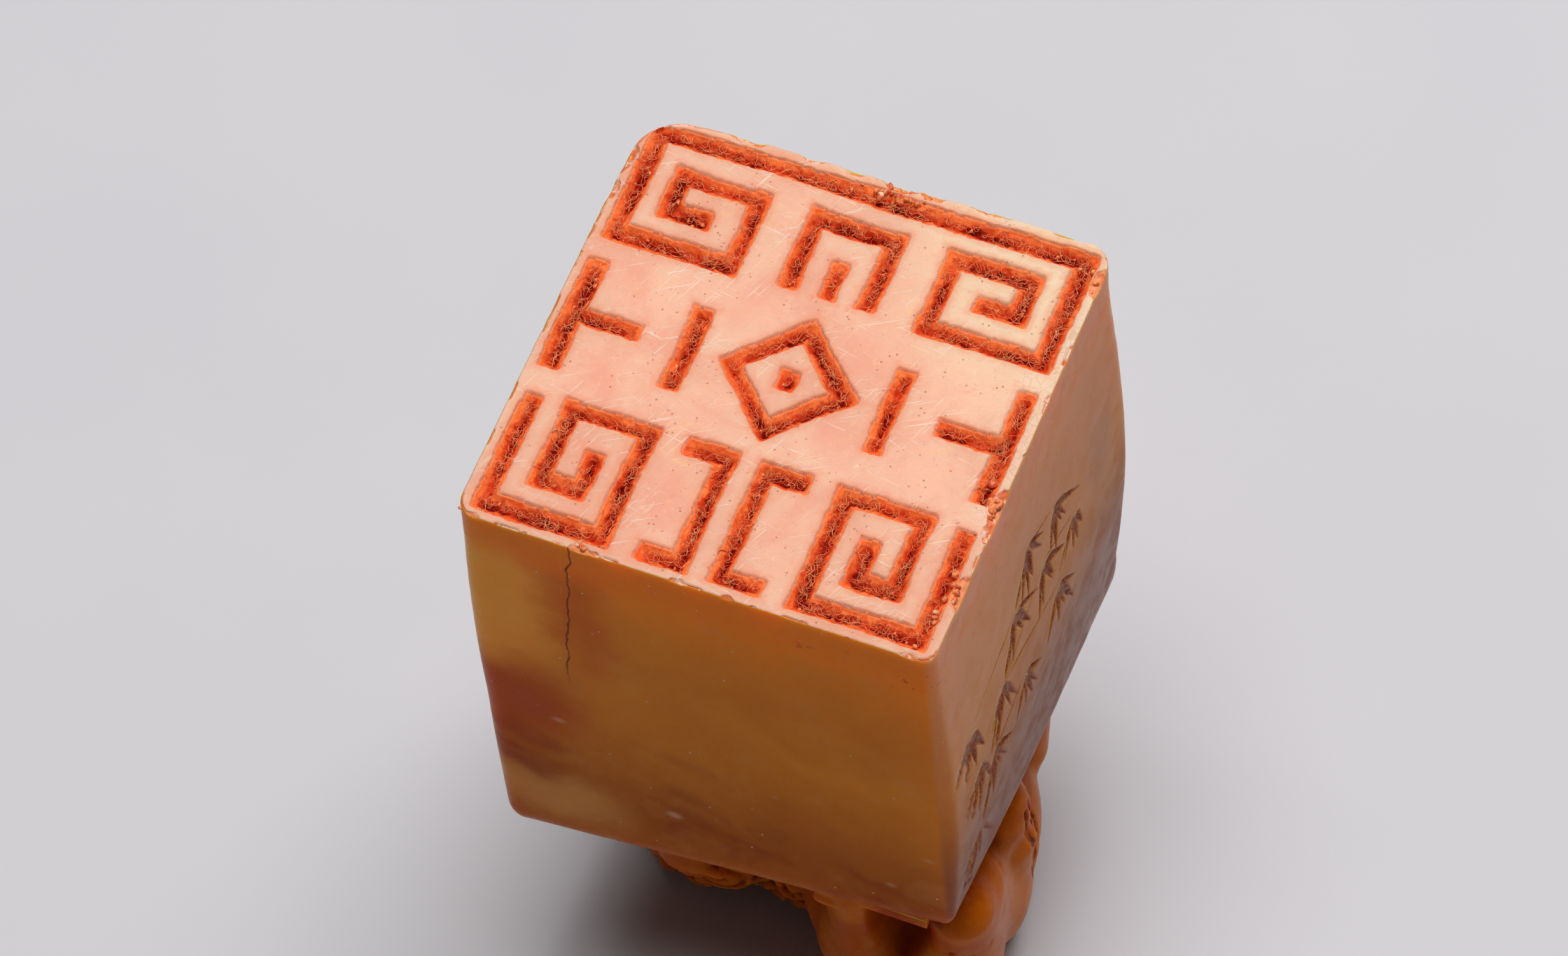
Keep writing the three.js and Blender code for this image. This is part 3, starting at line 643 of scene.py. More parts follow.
# Crouching beast of the knob, laid out in shares of its length, width and height as in the CAD model
BEAST_SIZE = np.array([20.0, 13.7, GROUND_Z])
SINK = 0.03
HEAD_X, HEAD_Y = -0.291, -0.03
FORELEG_X, FORELEG_Y = -0.225, 0.41
TAIL_Y = -0.04
LEG_TOP = 0.38
HIND_STANCES = {-1: (0.2, 0.426), 1: (0.16, 0.335)}
SHANK_SHARE, HEEL_SHARE = 0.0485, 0.0714
CORD_HALF, CORD_CORNER, CORD_X = 2.5, 0.8, FACE_CENTRE_X - 0.2
CURL_LOW_Z, CURL_NEAR_Y = 0.45, -3.2
PLATE_HALF, PLATE_EDGE = 0.6, 0.4
EMPTY_SPACE = 5.0
GRID_CELL = 0.12


def on_beast(x, y, h):
    return np.array([FACE_CENTRE_X, FACE_CENTRE_Y, GROUND_Z]) + (x, y, -h) * BEAST_SIZE


def on_head(x, y, h):
    return on_beast(HEAD_X + x, HEAD_Y + y, h)


def fan(count, spread):
    """Angles spread evenly about zero."""
    return [(k / (count - 1) - 0.5) * spread * math.pi for k in range(count)]


def rounded_gap(qx, qz, corner):
    """Distance from a rounded corner, given the distances past its two straight sides."""
    return np.hypot(np.maximum(qx, 0), np.maximum(qz, 0)) + np.minimum(np.maximum(qx, qz), 0) - corner


def dot(first, second):
    return sum(a * b for a, b in zip(first, second))


class Sculpture:
    """A solid kept as a field of distances on a grid; each call adds to it or cuts it."""

    def __init__(self, low, high, step):
        self.low, self.step = np.array(low, float), step
        self.axes = [np.arange(a, b + step, step) for a, b in zip(low, high)]
        self.field = np.full([len(a) for a in self.axes], EMPTY_SPACE)

    def window(self, low, high, origin):
        """The part of the grid between two corners, and how far its places lie from an origin."""
        spans, offsets = [], []
        for axis, a, b, middle in zip(self.axes, low, high, origin):
            first, last = np.searchsorted(axis, (a, b))
            spans.append(slice(max(int(first) - 1, 0), int(last) + 1))
            offsets.append(axis[spans[-1]] - middle)
        return tuple(spans), np.meshgrid(*offsets, indexing="ij", sparse=True)

    def nearest(self, points):
        """Values of the field at the grid places nearest to some points, and those places."""
        rounded = ((points - self.low) / self.step).round().astype(int)
        at = tuple(np.clip(rounded, 0, np.array(self.field.shape) - 1).T)
        return self.field[at], at

    def combine(self, spans, distance, blend, cut):
        held = self.field[spans]
        self.field[spans] = -soft_min(-held, distance, blend) if cut else soft_min(held, distance, blend)

    def blob(self, centre, sizes, turn=0.0, blend=0.5, cut=False):
        """An ellipsoid with its sizes in shares of the beast, turned about the vertical."""
        self.egg(centre, np.array(sizes) * BEAST_SIZE / 2, turn, blend, cut)

    def egg(self, centre, radii, turn=0.0, blend=0.5, cut=False):
        reach = max(radii) + blend + 2 * self.step
        spans, (px, py, qz) = self.window(centre - reach, centre + reach, centre)
        qx = px * math.cos(turn) + py * math.sin(turn)
        qy = py * math.cos(turn) - px * math.sin(turn)
        first, second = [np.sqrt(sum((q / r ** power) ** 2 for q, r in zip((qx, qy, qz), radii)))
                         for power in (1, 2)]
        self.combine(spans, first * (first - 1) / np.maximum(second, 1e-6), blend, cut)

    def limb(self, start, end, start_radius, end_radius, blend=0.5, cut=False):
        """A tapering round limb between two points."""
        reach = max(start_radius, end_radius) + blend + 2 * self.step
        low, high = np.minimum(start, end) - reach, np.maximum(start, end) + reach
        spans, offsets = self.window(low, high, start)
        along = end - start
        t = np.clip(dot(offsets, along) / (along @ along), 0, 1)
        gap = np.sqrt(sum((p - t * a) ** 2 for p, a in zip(offsets, along)))
        self.combine(spans, gap - (start_radius + (end_radius - start_radius) * t), blend, cut)

    def groove(self, points, radius, blend=0.2):
        """Cuts a round channel along a line of points."""
        for start, end in zip(points, points[1:]):
            self.limb(start, end, radius, radius, blend, cut=True)

    def spiral(self, centre, out, radius, hand, turns=1.3, depth=0.26):
        """Curl cut into a round lock of hair or a swelling muscle, seen along the way out."""
        reach = radius * 1.5 + 0.4
        spans, offsets = self.window(centre - reach, centre + reach, centre)
        out = np.array(out, float) / np.linalg.norm(out)
        first = np.cross(out, (0.0, 0.31, 0.95))
        first /= np.linalg.norm(first)
        second = np.cross(out, first)
        a, b, high = [dot(offsets, way) for way in (first, second, out)]
        away = np.hypot(a, b) / radius
        phase = (hand * np.arctan2(b, a) / (2 * math.pi) - away * turns) % 1.0
        line = np.exp(-((phase - 0.5) * radius / turns / 0.15) ** 2)
        mask = smoothstep(1.12, 0.98, away) * smoothstep(-0.1, 0.3, high / radius)
        mask = mask * smoothstep(0.05, 0.15, away)
        self.field[spans] += depth * line * mask

    def curl(self, centre, out, radius, hand):
        """A round lock of hair with its spiral."""
        self.egg(centre, (radius * 1.06, radius, radius), blend=0.12)
        self.spiral(centre, out, radius * 1.05, hand)

    def wisp(self, root, bend, tip, radius, blend=0.15):
        """A tapering lock of hair along a bent line."""
        steps = np.linspace(0, 1, 7)
        spots = [(1 - t) ** 2 * root + 2 * t * (1 - t) * bend + t ** 2 * tip for t in steps]
        radii = radius * (1 - 0.8 * steps ** 1.5)
        for k in range(len(steps) - 1):
            self.limb(spots[k], spots[k + 1], radii[k], radii[k + 1], blend)

    def skin(self, outside, way):
        """The first place on a straight line from outside that lies in the solid."""
        spots = outside + np.arange(0, 6, self.step / 2)[:, None] * np.array(way)
        return spots[np.argmax(self.nearest(spots)[0] < 0)]

    def hollowness(self, points):
        """From 0 on swells to 1 in creases: how much of the solid lies a little way off each point."""
        _, at = self.nearest(points)
        normal = np.column_stack([part[at] for part in np.gradient(self.field, self.step)])
        normal /= np.maximum(np.linalg.norm(normal, axis=1), 1e-6)[:, None]
        shares = [self.nearest(points + normal * reach)[0] / reach for reach in (0.35, 0.7, 1.1)]
        return sum(np.clip(1 - share, 0, 1) for share in shares) / 3

    def net(self):
        """Surface of the solid: a point in each cell that it passes through, joined by quads."""
        field = self.field
        solid = field < 0
        count = [n - 1 for n in field.shape]
        total = np.zeros(count + [3])
        crossings = np.zeros(count)
        corner = {c: tuple(slice(k, k + n) for k, n in zip(c, count)) for c in product((0, 1), repeat=3)}
        for a, b in product(corner, repeat=2):
            if sum(b) == sum(a) + 1 and all(y >= x for x, y in zip(a, b)):
                fa, fb = field[corner[a]], field[corner[b]]
                crosses = solid[corner[a]] != solid[corner[b]]
                share = np.where(crosses, fa / np.where(crosses, fa - fb, 1), 0)
                for k in range(3):
                    total[..., k] += np.where(crosses, a[k] + (b[k] - a[k]) * share, 0)
                crossings += crosses
        used = crossings > 0
        cells = np.argwhere(used)
        points = self.low + self.step * (cells + total[used] / crossings[used][:, None])
        number = np.full(count, -1)
        number[used] = np.arange(len(cells))
        faces = []
        for axis in range(3):
            inner = [slice(1, -1)] * 3
            inner[axis] = slice(0, -1)
            where = solid != np.roll(solid, -1, axis)
            at = np.argwhere(where[tuple(inner)]) + [1 if k != axis else 0 for k in range(3)]
            first, second = np.eye(3, dtype=int)[[(axis + 1) % 3, (axis + 2) % 3]]
            shifts = (0 * first, first, first + second, second)
            ring = np.column_stack([number[tuple((at - shift).T)] for shift in shifts])
            leaving = solid[tuple(at.T)]
            ring[~leaving] = ring[~leaving][:, ::-1]
            faces.append(ring)
        return points, np.concatenate(faces)


def sculpt_body(work):
    height = 1 - LEG_TOP + 0.05
    work.blob(on_beast(-0.02, 0, 1 - 0.03 - height / 2), (0.786, 0.613, height), blend=0.8)
    work.limb(on_beast(-0.25, 0, 0.926), on_beast(0.25, 0, 0.926), 0.85, 0.85, 0.5)
    work.blob(on_beast(FORELEG_X, 0, 0.566), (0.357, 0.73, 0.738), blend=0.8)
    work.blob(on_beast(FORELEG_X - 0.07, 0, 0.279), (0.235, 0.54, 0.754), blend=0.8)
    work.blob(on_beast(0.212, TAIL_Y, 1 + SINK - 0.426), (0.5, 1.007, 0.852), blend=0.7)
    for x in np.linspace(-0.1, 0.1, 6):
        work.egg(on_beast(x, 0, 0.955), (0.5, 0.62, 0.55), blend=0.1)
    for side in (-1, 1):
        for k in range(3):
            h = 0.86 - 0.12 * k
            root = on_beast(-0.07 + 0.012 * k, side * (0.23 + 0.03 * k), h)
            bend = on_beast(0.0, side * (0.28 + 0.03 * k), h + 0.02)
            tip = on_beast(0.055 - 0.01 * k, side * (0.255 + 0.03 * k), h - 0.13)
            work.wisp(root, bend, tip, 0.62, 0.08)
        haunch = on_beast(0.24, side * 0.44 + TAIL_Y, 0.72)
        work.spiral(haunch, (0.1, side, -0.45), 2.1, side, 1.7, 0.24)
        for k in range(2):
            root = on_beast(0.24 + 0.035 * k, side * (0.4 - 0.06 * k), 0.91 - 0.05 * k)
            bend = on_beast(0.32 + 0.025 * k, side * (0.39 - 0.07 * k), 0.92 - 0.06 * k)
            tip = on_beast(0.365 + 0.02 * k, side * (0.33 - 0.07 * k), 0.76 - 0.06 * k)
            work.wisp(root, bend, tip, 0.5, 0.12)


def sculpt_mouth(work):
    lips = [(-0.07, -0.185, 0.475), (-0.14, -0.15, 0.435), (-0.2, -0.02, 0.42),
            (-0.14, 0.12, 0.435), (-0.07, 0.155, 0.475)]
    work.groove([on_head(*spot) for spot in lips], 0.3, 0.12)
    work.egg(on_head(-0.165, -0.02, 0.425), (1.3, 1.5, 0.34), blend=0.12, cut=True)
    work.egg(on_head(-0.15, -0.02, 0.4), (1.15, 0.75, 0.24), blend=0.08)
    for k in range(-2, 3):
        fang = 0.4 if abs(k) == 2 else 0.24
        work.egg(on_head(-0.192 + 0.009 * k * k, -0.02 + 0.046 * k, 0.447), (0.2, 0.23, fang), blend=0.04)


def sculpt_head(work):
    work.blob(on_head(0, 0, 1 + SINK - 0.336), (0.337, 0.54, 0.672), blend=0.6)
    work.blob(on_head(-0.122, -0.02, 0.5), (0.184, 0.34, 0.279), 0.15, 0.4)
    work.blob(on_head(-0.117, -0.02, 0.369), (0.163, 0.27, 0.156), 0.15, 0.25)
    work.blob(on_head(-0.158, -0.025, 0.59), (0.097, 0.19, 0.139), 0.15, 0.2)
    sculpt_mouth(work)
    for side in (-1, 1):
        nostril = on_head(-0.198, -0.025 + side * 0.052, 0.572)
        work.egg(nostril, (0.34, 0.28, 0.26), blend=0.08, cut=True)
        eye = on_head(-0.132, side * 0.125, 0.66)
        work.egg(eye, (1.0, 1.05, 0.92), blend=0.15, cut=True)
        work.egg(eye + (0.1, -side * 0.05, 0.0), (0.86, 0.78, 0.68), blend=0.04)
        work.egg(eye + (-0.72, side * 0.2, 0.0), (0.24, 0.24, 0.24), blend=0.04, cut=True)
        work.wisp(on_head(-0.15, side * 0.045, 0.725), on_head(-0.15, side * 0.15, 0.8),
                  on_head(-0.055, side * 0.26, 0.76), 0.5, 0.12)
        work.blob(on_head(-0.065, side * 0.2, 0.52), (0.12, 0.13, 0.17), side * 0.3, 0.25)
        work.wisp(on_head(-0.185, side * 0.07, 0.52), on_head(-0.16, side * 0.2, 0.54),
                  on_head(-0.09, side * 0.25, 0.6), 0.26, 0.08)
        ear = on_head(0.04, side * 0.26, 0.75)
        work.blob(ear, (0.14, 0.13, 0.28), side * 0.3, 0.15)
        work.egg(ear + (-0.6, side * 0.6, 0.1), (0.85, 0.45, 1.05), side * 0.5, 0.12, cut=True)
    for side in (-1, 1):
        work.wisp(on_head(-0.145, 0.02 * side, 0.78), on_head(-0.14, 0.05 * side, 0.84),
                  on_head(-0.11, 0.12 * side, 0.87), 0.34, 0.06)


# Levels of the middle of the mane and of the skull, as shares of the beast's height
MANE_HUB_H, SKULL_H = 0.607, 0.694
# Rows of curls on the shoulders: place along, reach to the side and down, how many, spread, size
SHOULDER_CURLS = [(-0.179, 0.263, 0.291, 9, 1.35, 1.2), (-0.105, 0.262, 0.30, 7, 0.96, 1.1),
                  (-0.045, 0.245, 0.285, 6, 0.8, 1.0)]
# Rows of curls on the crown: place along, how many, spread, size
CROWN_CURLS = [(-0.1, 4, 0.42, 0.95), (-0.035, 5, 0.66, 1.05), (0.035, 6, 0.85, 1.1)]
# Curls of the beard: place across, level, size
BEARD_CURLS = [(-0.13, 0.27, 0.95), (0.0, 0.24, 1.0), (0.13, 0.27, 0.95), (-0.07, 0.13, 0.85),
               (0.07, 0.13, 0.85)]


def sculpt_mane(work):
    """Rows of curls round the shoulders and over the head, and a curly beard."""
    hub = on_beast(-0.179, 0, MANE_HUB_H)
    for x, wide, high, count, spread, radius in SHOULDER_CURLS:
        for angle in fan(count, spread):
            centre = on_beast(x, wide * math.sin(angle), MANE_HUB_H + high * math.cos(angle))
            out = (centre - hub) * (0.6, 1.0, 1.0) + (0.4, 0, 0)
            centre = np.maximum(centre, (-np.inf, CURL_NEAR_Y, CURL_LOW_Z))
            work.curl(centre, out, radius, 1 if angle > 0 else -1)
    skull = on_head(0, 0, SKULL_H)
    for x, count, spread, radius in CROWN_CURLS:
        share = math.sqrt(1 - (x / 0.17) ** 2)
        for angle in fan(count, spread):
            centre = on_head(x, 0.245 * share * math.sin(angle), SKULL_H + 0.3 * share * math.cos(angle))
            centre[2] = max(centre[2], CURL_LOW_Z)
            work.curl(centre, centre - skull, radius, 1 if angle > 0 else -1)
    for y, h, radius in BEARD_CURLS:
        work.curl(on_head(-0.1, y, h), (-1.0, 0.4 * np.sign(y), 0.1), radius, 1 if y > 0 else -1)


def sculpt_paw(work, middle, width, length):
    """Four toes with a claw each, fanned about the way forward."""
    for k in range(4):
        turn = math.pi + 0.1 * (k - 1.5)
        ahead = np.array([math.cos(turn), math.sin(turn), 0.0])
        toe = middle + (0.0, -width * (k - 1.5) / 3, 0.0) + ahead * (length - 0.16 * abs(k - 1.5))
        work.egg(toe, (0.95, 0.46, 0.8), turn, 0.05)
        claw = toe + ahead * 0.7 + (0, 0, 0.1)
        work.limb(claw, claw + ahead * 0.25 + (0, 0, 0.4), 0.24, 0.1, 0.04)


def sculpt_foreleg(work, side):
    foot = on_beast(FORELEG_X, side * FORELEG_Y, 0.082)
    elbow = on_beast(FORELEG_X + 0.01, side * (FORELEG_Y - 0.034), 0.36)
    radius = 0.097 * BEAST_SIZE[0]
    work.limb(foot, elbow, radius - 0.25, radius, 0.5)
    work.limb(elbow + (0.5, 0, 0.6), elbow + (0.9, 0, -0.4), 1.2, 1.0, 0.5)
    work.blob(on_beast(FORELEG_X - 0.1, side * FORELEG_Y, 0.066), (0.24, 0.25, 0.26), blend=0.3)
    shoulder = on_beast(FORELEG_X + 0.02, side * (FORELEG_Y - 0.11), 0.56)
    work.blob(shoulder, (0.235, 0.2, 0.5), side * 0.15, 0.4)
    work.spiral(shoulder + (0, side * 1.2, 0.6), (0.1, side, 0), 1.5, -side, 1.5, 0.22)
    for k in range(3):
        root = on_beast(FORELEG_X + 0.065, side * (FORELEG_Y + 0.06 - 0.05 * k), 0.36 - 0.07 * k)
        work.wisp(root, root + (0.8, side * 0.15, -0.3), root + (0.9, side * 0.2, 1.5), 0.5, 0.1)
    sculpt_paw(work, on_beast(FORELEG_X - 0.1, side * FORELEG_Y, 0.078), 2.1, 1.5)


def sculpt_hind_leg(work, side):
    shank_x, heel_x = HIND_STANCES[side]
    shank_radius, heel_radius = SHANK_SHARE * BEAST_SIZE[0], HEEL_SHARE * BEAST_SIZE[0]
    knee = on_beast(shank_x - 0.026, side * 0.435, 0.557)
    work.limb(on_beast(shank_x, side * 0.5, 0.016), knee, shank_radius, 2 * shank_radius, 0.45)
    heel = on_beast(heel_x, side * 0.435, 0.049)
    work.limb(heel, on_beast(heel_x - 0.02, side * 0.37, 0.508), heel_radius, heel_radius + 0.26, 0.45)
    thigh = on_beast((shank_x + heel_x) / 2, side * 0.39, 0.59)
    work.blob(thigh, (heel_x - shank_x + 0.1, 0.3, 0.607), -side * 0.2, 0.35)
    work.spiral(thigh + (0, side * 1.3, -0.5), (0.0, side, -0.15), 1.9, -side, 1.6, 0.22)
    fold = [(shank_x - 0.05, 0.52, 0.78), (shank_x + 0.05, 0.56, 0.93), (heel_x - 0.03, 0.5, 0.94)]
    work.groove([on_beast(x, side * y, h) for x, y, h in fold], 0.2, 0.3)
    sculpt_paw(work, on_beast(shank_x - 0.02, side * 0.47, 0.06), 1.7, 0.75)
    for k in range(3):
        x, h = heel_x - 0.02 + 0.03 * k, 0.30 + 0.05 * k
        work.groove([on_beast(x + 0.03 * t, side * (0.435 + 0.105 * (1 - t * t)), h - 0.2 * t)
                     for t in np.linspace(0, 1, 5)], 0.1, 0.06)


def sculpt_tail(work):
    """A bushy tail hanging from the rump, its locks parted by carved lines, with curls at its root."""
    work.limb(on_beast(0.4, TAIL_Y, 0.72), on_beast(0.42, TAIL_Y, 0.3), 1.0, 1.3, 0.4)
    work.blob(on_beast(0.41, TAIL_Y, 0.16), (0.12, 0.25, 0.34), blend=0.4)
    work.limb(on_beast(0.385, -0.15, 0.62), on_beast(0.405, -0.3, 0.14), 1.8, 1.5, 1.3)
    work.curl(on_beast(0.402, TAIL_Y + 0.1, 0.7), (1.0, 0.6, 0.0), 0.95, 1)
    work.curl(on_beast(0.405, TAIL_Y, 0.8), (0.8, 0.0, -0.6), 1.05, -1)
    for k in range(4):
        spots = []
        for t in np.linspace(0.08 * abs(k - 1), 1, 12):
            aside = (k - 0.2) * (0.03 + 0.022 * math.sin(2.6 * t)) + 0.014 * math.sin(6.0 * t)
            outside = on_beast(0.53, TAIL_Y + 0.02 + aside, 0.64 - 0.54 * t)
            spots.append(work.skin(outside, (-1.0, 0.0, 0.0)))
        work.groove(spots, 0.14, 0.08)


def cut_hollows(work):
    """The gap between each hind shank and its heel, and the cord passage under the belly."""
    for side in (-1, 1):
        shank_x, heel_x = HIND_STANCES[side]
        start, end = shank_x + SHANK_SHARE, heel_x - HEEL_SHARE
        gap_middle = on_beast((start + end) / 2, side * 0.57, 0.131)
        work.blob(gap_middle, (end - start + 0.02, 0.6, 0.58), blend=0.3, cut=True)
    x, z = work.axes[0][:, None, None], work.axes[2][None, None, :]
    top = GROUND_Z - LEG_TOP * BEAST_SIZE[2]
    gap = rounded_gap(np.abs(x - CORD_X) - (CORD_HALF - CORD_CORNER), top + CORD_CORNER - z, CORD_CORNER)
    work.field = -soft_min(-work.field, np.maximum(gap, z - GROUND_Z), 0.3)


def sculpt_ground(work):
    """The low plate between the beast's feet and the shaft."""
    x, y = np.meshgrid(work.axes[0], work.axes[1], indexing="ij")
    inset, _, _ = outline_inset(x.ravel(), y.ravel())
    outside = (CORE_INSET + 0.1 - inset).reshape(x.shape)[:, :, None]
    off_middle = np.abs(work.axes[2][None, None, :] - (GROUND_Z + PLATE_HALF))
    gap = rounded_gap(outside + PLATE_EDGE, off_middle - PLATE_HALF + PLATE_EDGE, PLATE_EDGE)
    work.field = soft_min(work.field, gap, 0.35)


def build_knob():
    work = Sculpture((-10.75, -9.2, -0.6), (10.75, 8.4, GROUND_Z + 1.5), GRID_CELL)
    sculpt_body(work)
    sculpt_head(work)
    for side in (-1, 1):
        sculpt_foreleg(work, side)
        sculpt_hind_leg(work, side)
    sculpt_mane(work)
    sculpt_tail(work)
    cut_hollows(work)
    sculpt_ground(work)
    work.field = np.maximum(work.field, -work.axes[2][None, None, :])
    points, faces = work.net()
    hollow = work.hollowness(points)
    points[:, 2] = np.maximum(points[:, 2], 0)
    # The flank towards the front is a little slimmer ahead of the haunch
    x, y, z = points.T
    slimmer = 0.1 * smoothstep(5.0, 1.0, x) * smoothstep(GROUND_Z - 0.2, GROUND_Z - 1.2, z)
    points[:, 1] -= slimmer * np.minimum(y + 1.5, 0)
    made = make_object("stone_knob", points, faces)
    add_attribute(made, "hollow", hollow)
    return made


knob = build_knob()


# Colours of the stone
STONE_LIGHT = (0.74, 0.235, 0.016)
STONE_DARK = (0.66, 0.190, 0.011)
# Painted glow: lighter amber towards the face, in place of light passing down from the lit face
PAINTED_AMBER_GLOW = (1.0, 0.250, 0.013)
# Painted glow along the top of the sides
PAINTED_RIM_GLOW = (1.0, 0.21, 0.010)
STONE_LOW = (0.38, 0.080, 0.003)
STONE_PALE = (0.70, 0.285, 0.065)
STONE_STREAK = (1.0, 0.37, 0.050)
STONE_BY_CRACK = (0.60, 0.085, 0.006)
STONE_CRACK = (0.16, 0.03, 0.008)
STONE_BRUISE = (0.44, 0.045, 0.004)
STONE_VEIN = (0.27, 0.028, 0.002)
WHITE_SPECK = (0.90, 0.70, 0.50)
PALE_SPOT = (0.86, 0.60, 0.38)
# Share of the light that passes into the stone, and how far its red, green and blue go
GLOW_SHARE, GLOW_RADII = 0.6, (1.0, 0.36, 0.1)

# Patches of the front: centre, radii, softness, share, colour
FRONT_PATCHES = [((-9.4, -9.0, 36.0), (5.0, 9.0, 9.5), 0.35, 0.9, STONE_STREAK),
                 ((-5.4, -9.0, 36.2), (2.3, 5.0, 10.5), 0.2, 0.75, STONE_BY_CRACK),
                 ((-9.0, -9.0, 26.4), (5.0, 8.0, 5.0), 0.2, 0.85, STONE_BRUISE),
                 ((-7.6, -8.0, 18.6), (5.0, 7.0, 3.4), 0.3, 0.7, STONE_PALE)]
# Fine crack by the pale streak: a place on it and its lean
CRACK_X, CRACK_Z, CRACK_LEAN = -5.15, 40.0, 0.09
# Veins low on the shaft: their slope, then level, width and share of each
VEIN_SLOPE = 0.24
VEINS = [(21.6, 0.7, 0.5), (20.2, 0.45, 0.65), (18.9, 0.9, 0.7), (24.6, 0.5, 0.3)]
# Soft pale spots: centre, radius
PALE_SPOTS = [((-6.9, -9.9, 25.4), 0.34), ((9.2, -9.9, 23.7), 0.3), ((2.6, -9.9, 24.9), 0.26),
              ((-2.2, -9.9, 20.2), 0.4), ((7.4, -9.9, 20.4), 0.3), ((-3.4, -9.9, 24.0), 0.22)]
# Specks on the land: how close, size from and to, where they gather, share, colour
LAND_SPECKS = [(3.2, (0.19, 0.09), (1.1, 0.5, 0.58), 0.7, (0.40, 0.10, 0.05)),
               (5.5, (0.22, 0.10), (2.3, 0.56, 0.62), 0.6, (0.66, 0.24, 0.12))]
# Scratches on the land: angle, how fine across, how long, seed
LAND_SCRATCHES = [(0.4, 15.0, 0.45, 0.0), (1.75, 17.0, 0.6, 7.0), (1.05, 14.0, 0.35, 19.0)]
# Painted shade: deep red in the knob's hollows, by the legs and in the cord passage
KNOB_SHADED_HOLLOWS = [((6.3, -7.0, 10.6), (2.0, 2.6, 3.6)), ((5.2, 6.2, 10.6), (1.7, 2.6, 3.6)),
                ((-0.1, -0.2, 10.4), (3.4, 9.0, 2.6))]


class Shading:
    """Short calls for building one node material, with its places in millimetres."""

    def __init__(self, name):
        self.material = bpy.data.materials.new(name)
        self.material.use_nodes = True
        self.tree = self.material.node_tree
        self.shader = self.tree.nodes["Principled BSDF"]
        self.place = self.vector("SCALE", self.node("TexCoord").outputs["Object"], 1 / MM)

    def node(self, kind, settings=(), inputs=()):
        made = self.tree.nodes.new("ShaderNode" + kind)
        for key, value in dict(settings).items():
            setattr(made, key, value)
        for key, value in dict(inputs).items():
            self.put(made.inputs[key], value)
        return made

    def put(self, socket, value):
        if isinstance(value, bpy.types.NodeSocket):
            self.tree.links.new(value, socket)
        elif isinstance(value, tuple) and len(value) == 3 and socket.type == "RGBA":
            socket.default_value = (*value, 1)
        else:
            socket.default_value = value

    def set(self, name, value):
        self.put(self.shader.inputs[name], value)

    def vector(self, operation, a, b):
        """Vector arithmetic; the second value is a plain number for a scale."""
        second = "Scale" if operation == "SCALE" else 1
        return self.node("VectorMath", {"operation": operation}, {0: a, second: b}).outputs[0]

    def math(self, operation, a, b=0.0):
        return self.node("Math", {"operation": operation}, {0: a, 1: b}).outputs[0]

    def times(self, a, b):
        return self.math("MULTIPLY", a, b)

    def plus(self, a, b):
        return self.math("ADD", a, b)

    def minus(self, a, b):
        return self.math("SUBTRACT", a, b)

    def largest(self, first, *others):
        for other in others:
            first = self.math("MAXIMUM", first, other)
        return first

    def noise(self, scale, detail=3.0, roughness=0.55, warp=0.0, at=None):
        inputs = {"Vector": self.place if at is None else at, "Scale": scale, "Detail": detail,
                  "Roughness": roughness, "Distortion": warp}
        return self.node("TexNoise", inputs=inputs).outputs["Fac"]

    def ramp(self, value, low, high, out_low=0.0, out_high=1.0):
        inputs = {"Value": value, "From Min": low, "From Max": high, "To Min": out_low, "To Max": out_high}
        return self.node("MapRange", {"interpolation_type": "SMOOTHSTEP"}, inputs).outputs[0]

    def waver(self, size, *noise):
        """Noise about zero."""
        return self.times(self.minus(self.noise(*noise), 0.5), size)

    def dots(self, scale, large, small):
        """Round dots strewn about, fading between two distances from their middles."""
        cells = self.node("TexVoronoi", inputs={"Vector": self.place, "Scale": scale})
        return self.ramp(cells.outputs["Distance"], large, small)

    def mix(self, share, a, b):
        return self.node("Mix", {"data_type": "RGBA"}, {0: share, 6: a, 7: b}).outputs[2]

    def tint(self, colour, over, mask, share):
        """A colour with another one over it where the mask is, at no more than the given share."""
        return self.mix(self.times(mask, share), colour, over)

    def attribute(self, name):
        return self.node("Attribute", {"attribute_name": name}).outputs["Fac"]

    def near_point(self, centre, radii, soft, at=None):
        """Share from 1 at a point to 0 at an ellipsoid about it."""
        moved = self.vector("SUBTRACT", self.place if at is None else at, centre)
        length = self.node("VectorMath", {"operation": "LENGTH"}, {0: self.vector("DIVIDE", moved, radii)})
        return self.ramp(length.outputs["Value"], 1.0, soft)

    def bump(self, height, strength, distance):
        inputs = {"Height": height, "Strength": strength, "Distance": distance * MM}
        self.set("Normal", self.node("Bump", inputs=inputs).outputs[0])

    def stone(self, rough, bend, light_path):
        """Polish and depth of the stone; the light path is in millimetres."""
        self.set("Roughness", rough)
        self.set("IOR", bend)
        self.set("Subsurface Weight", GLOW_SHARE)
        self.set("Subsurface Radius", GLOW_RADII)
        self.set("Subsurface Scale", light_path * MM)


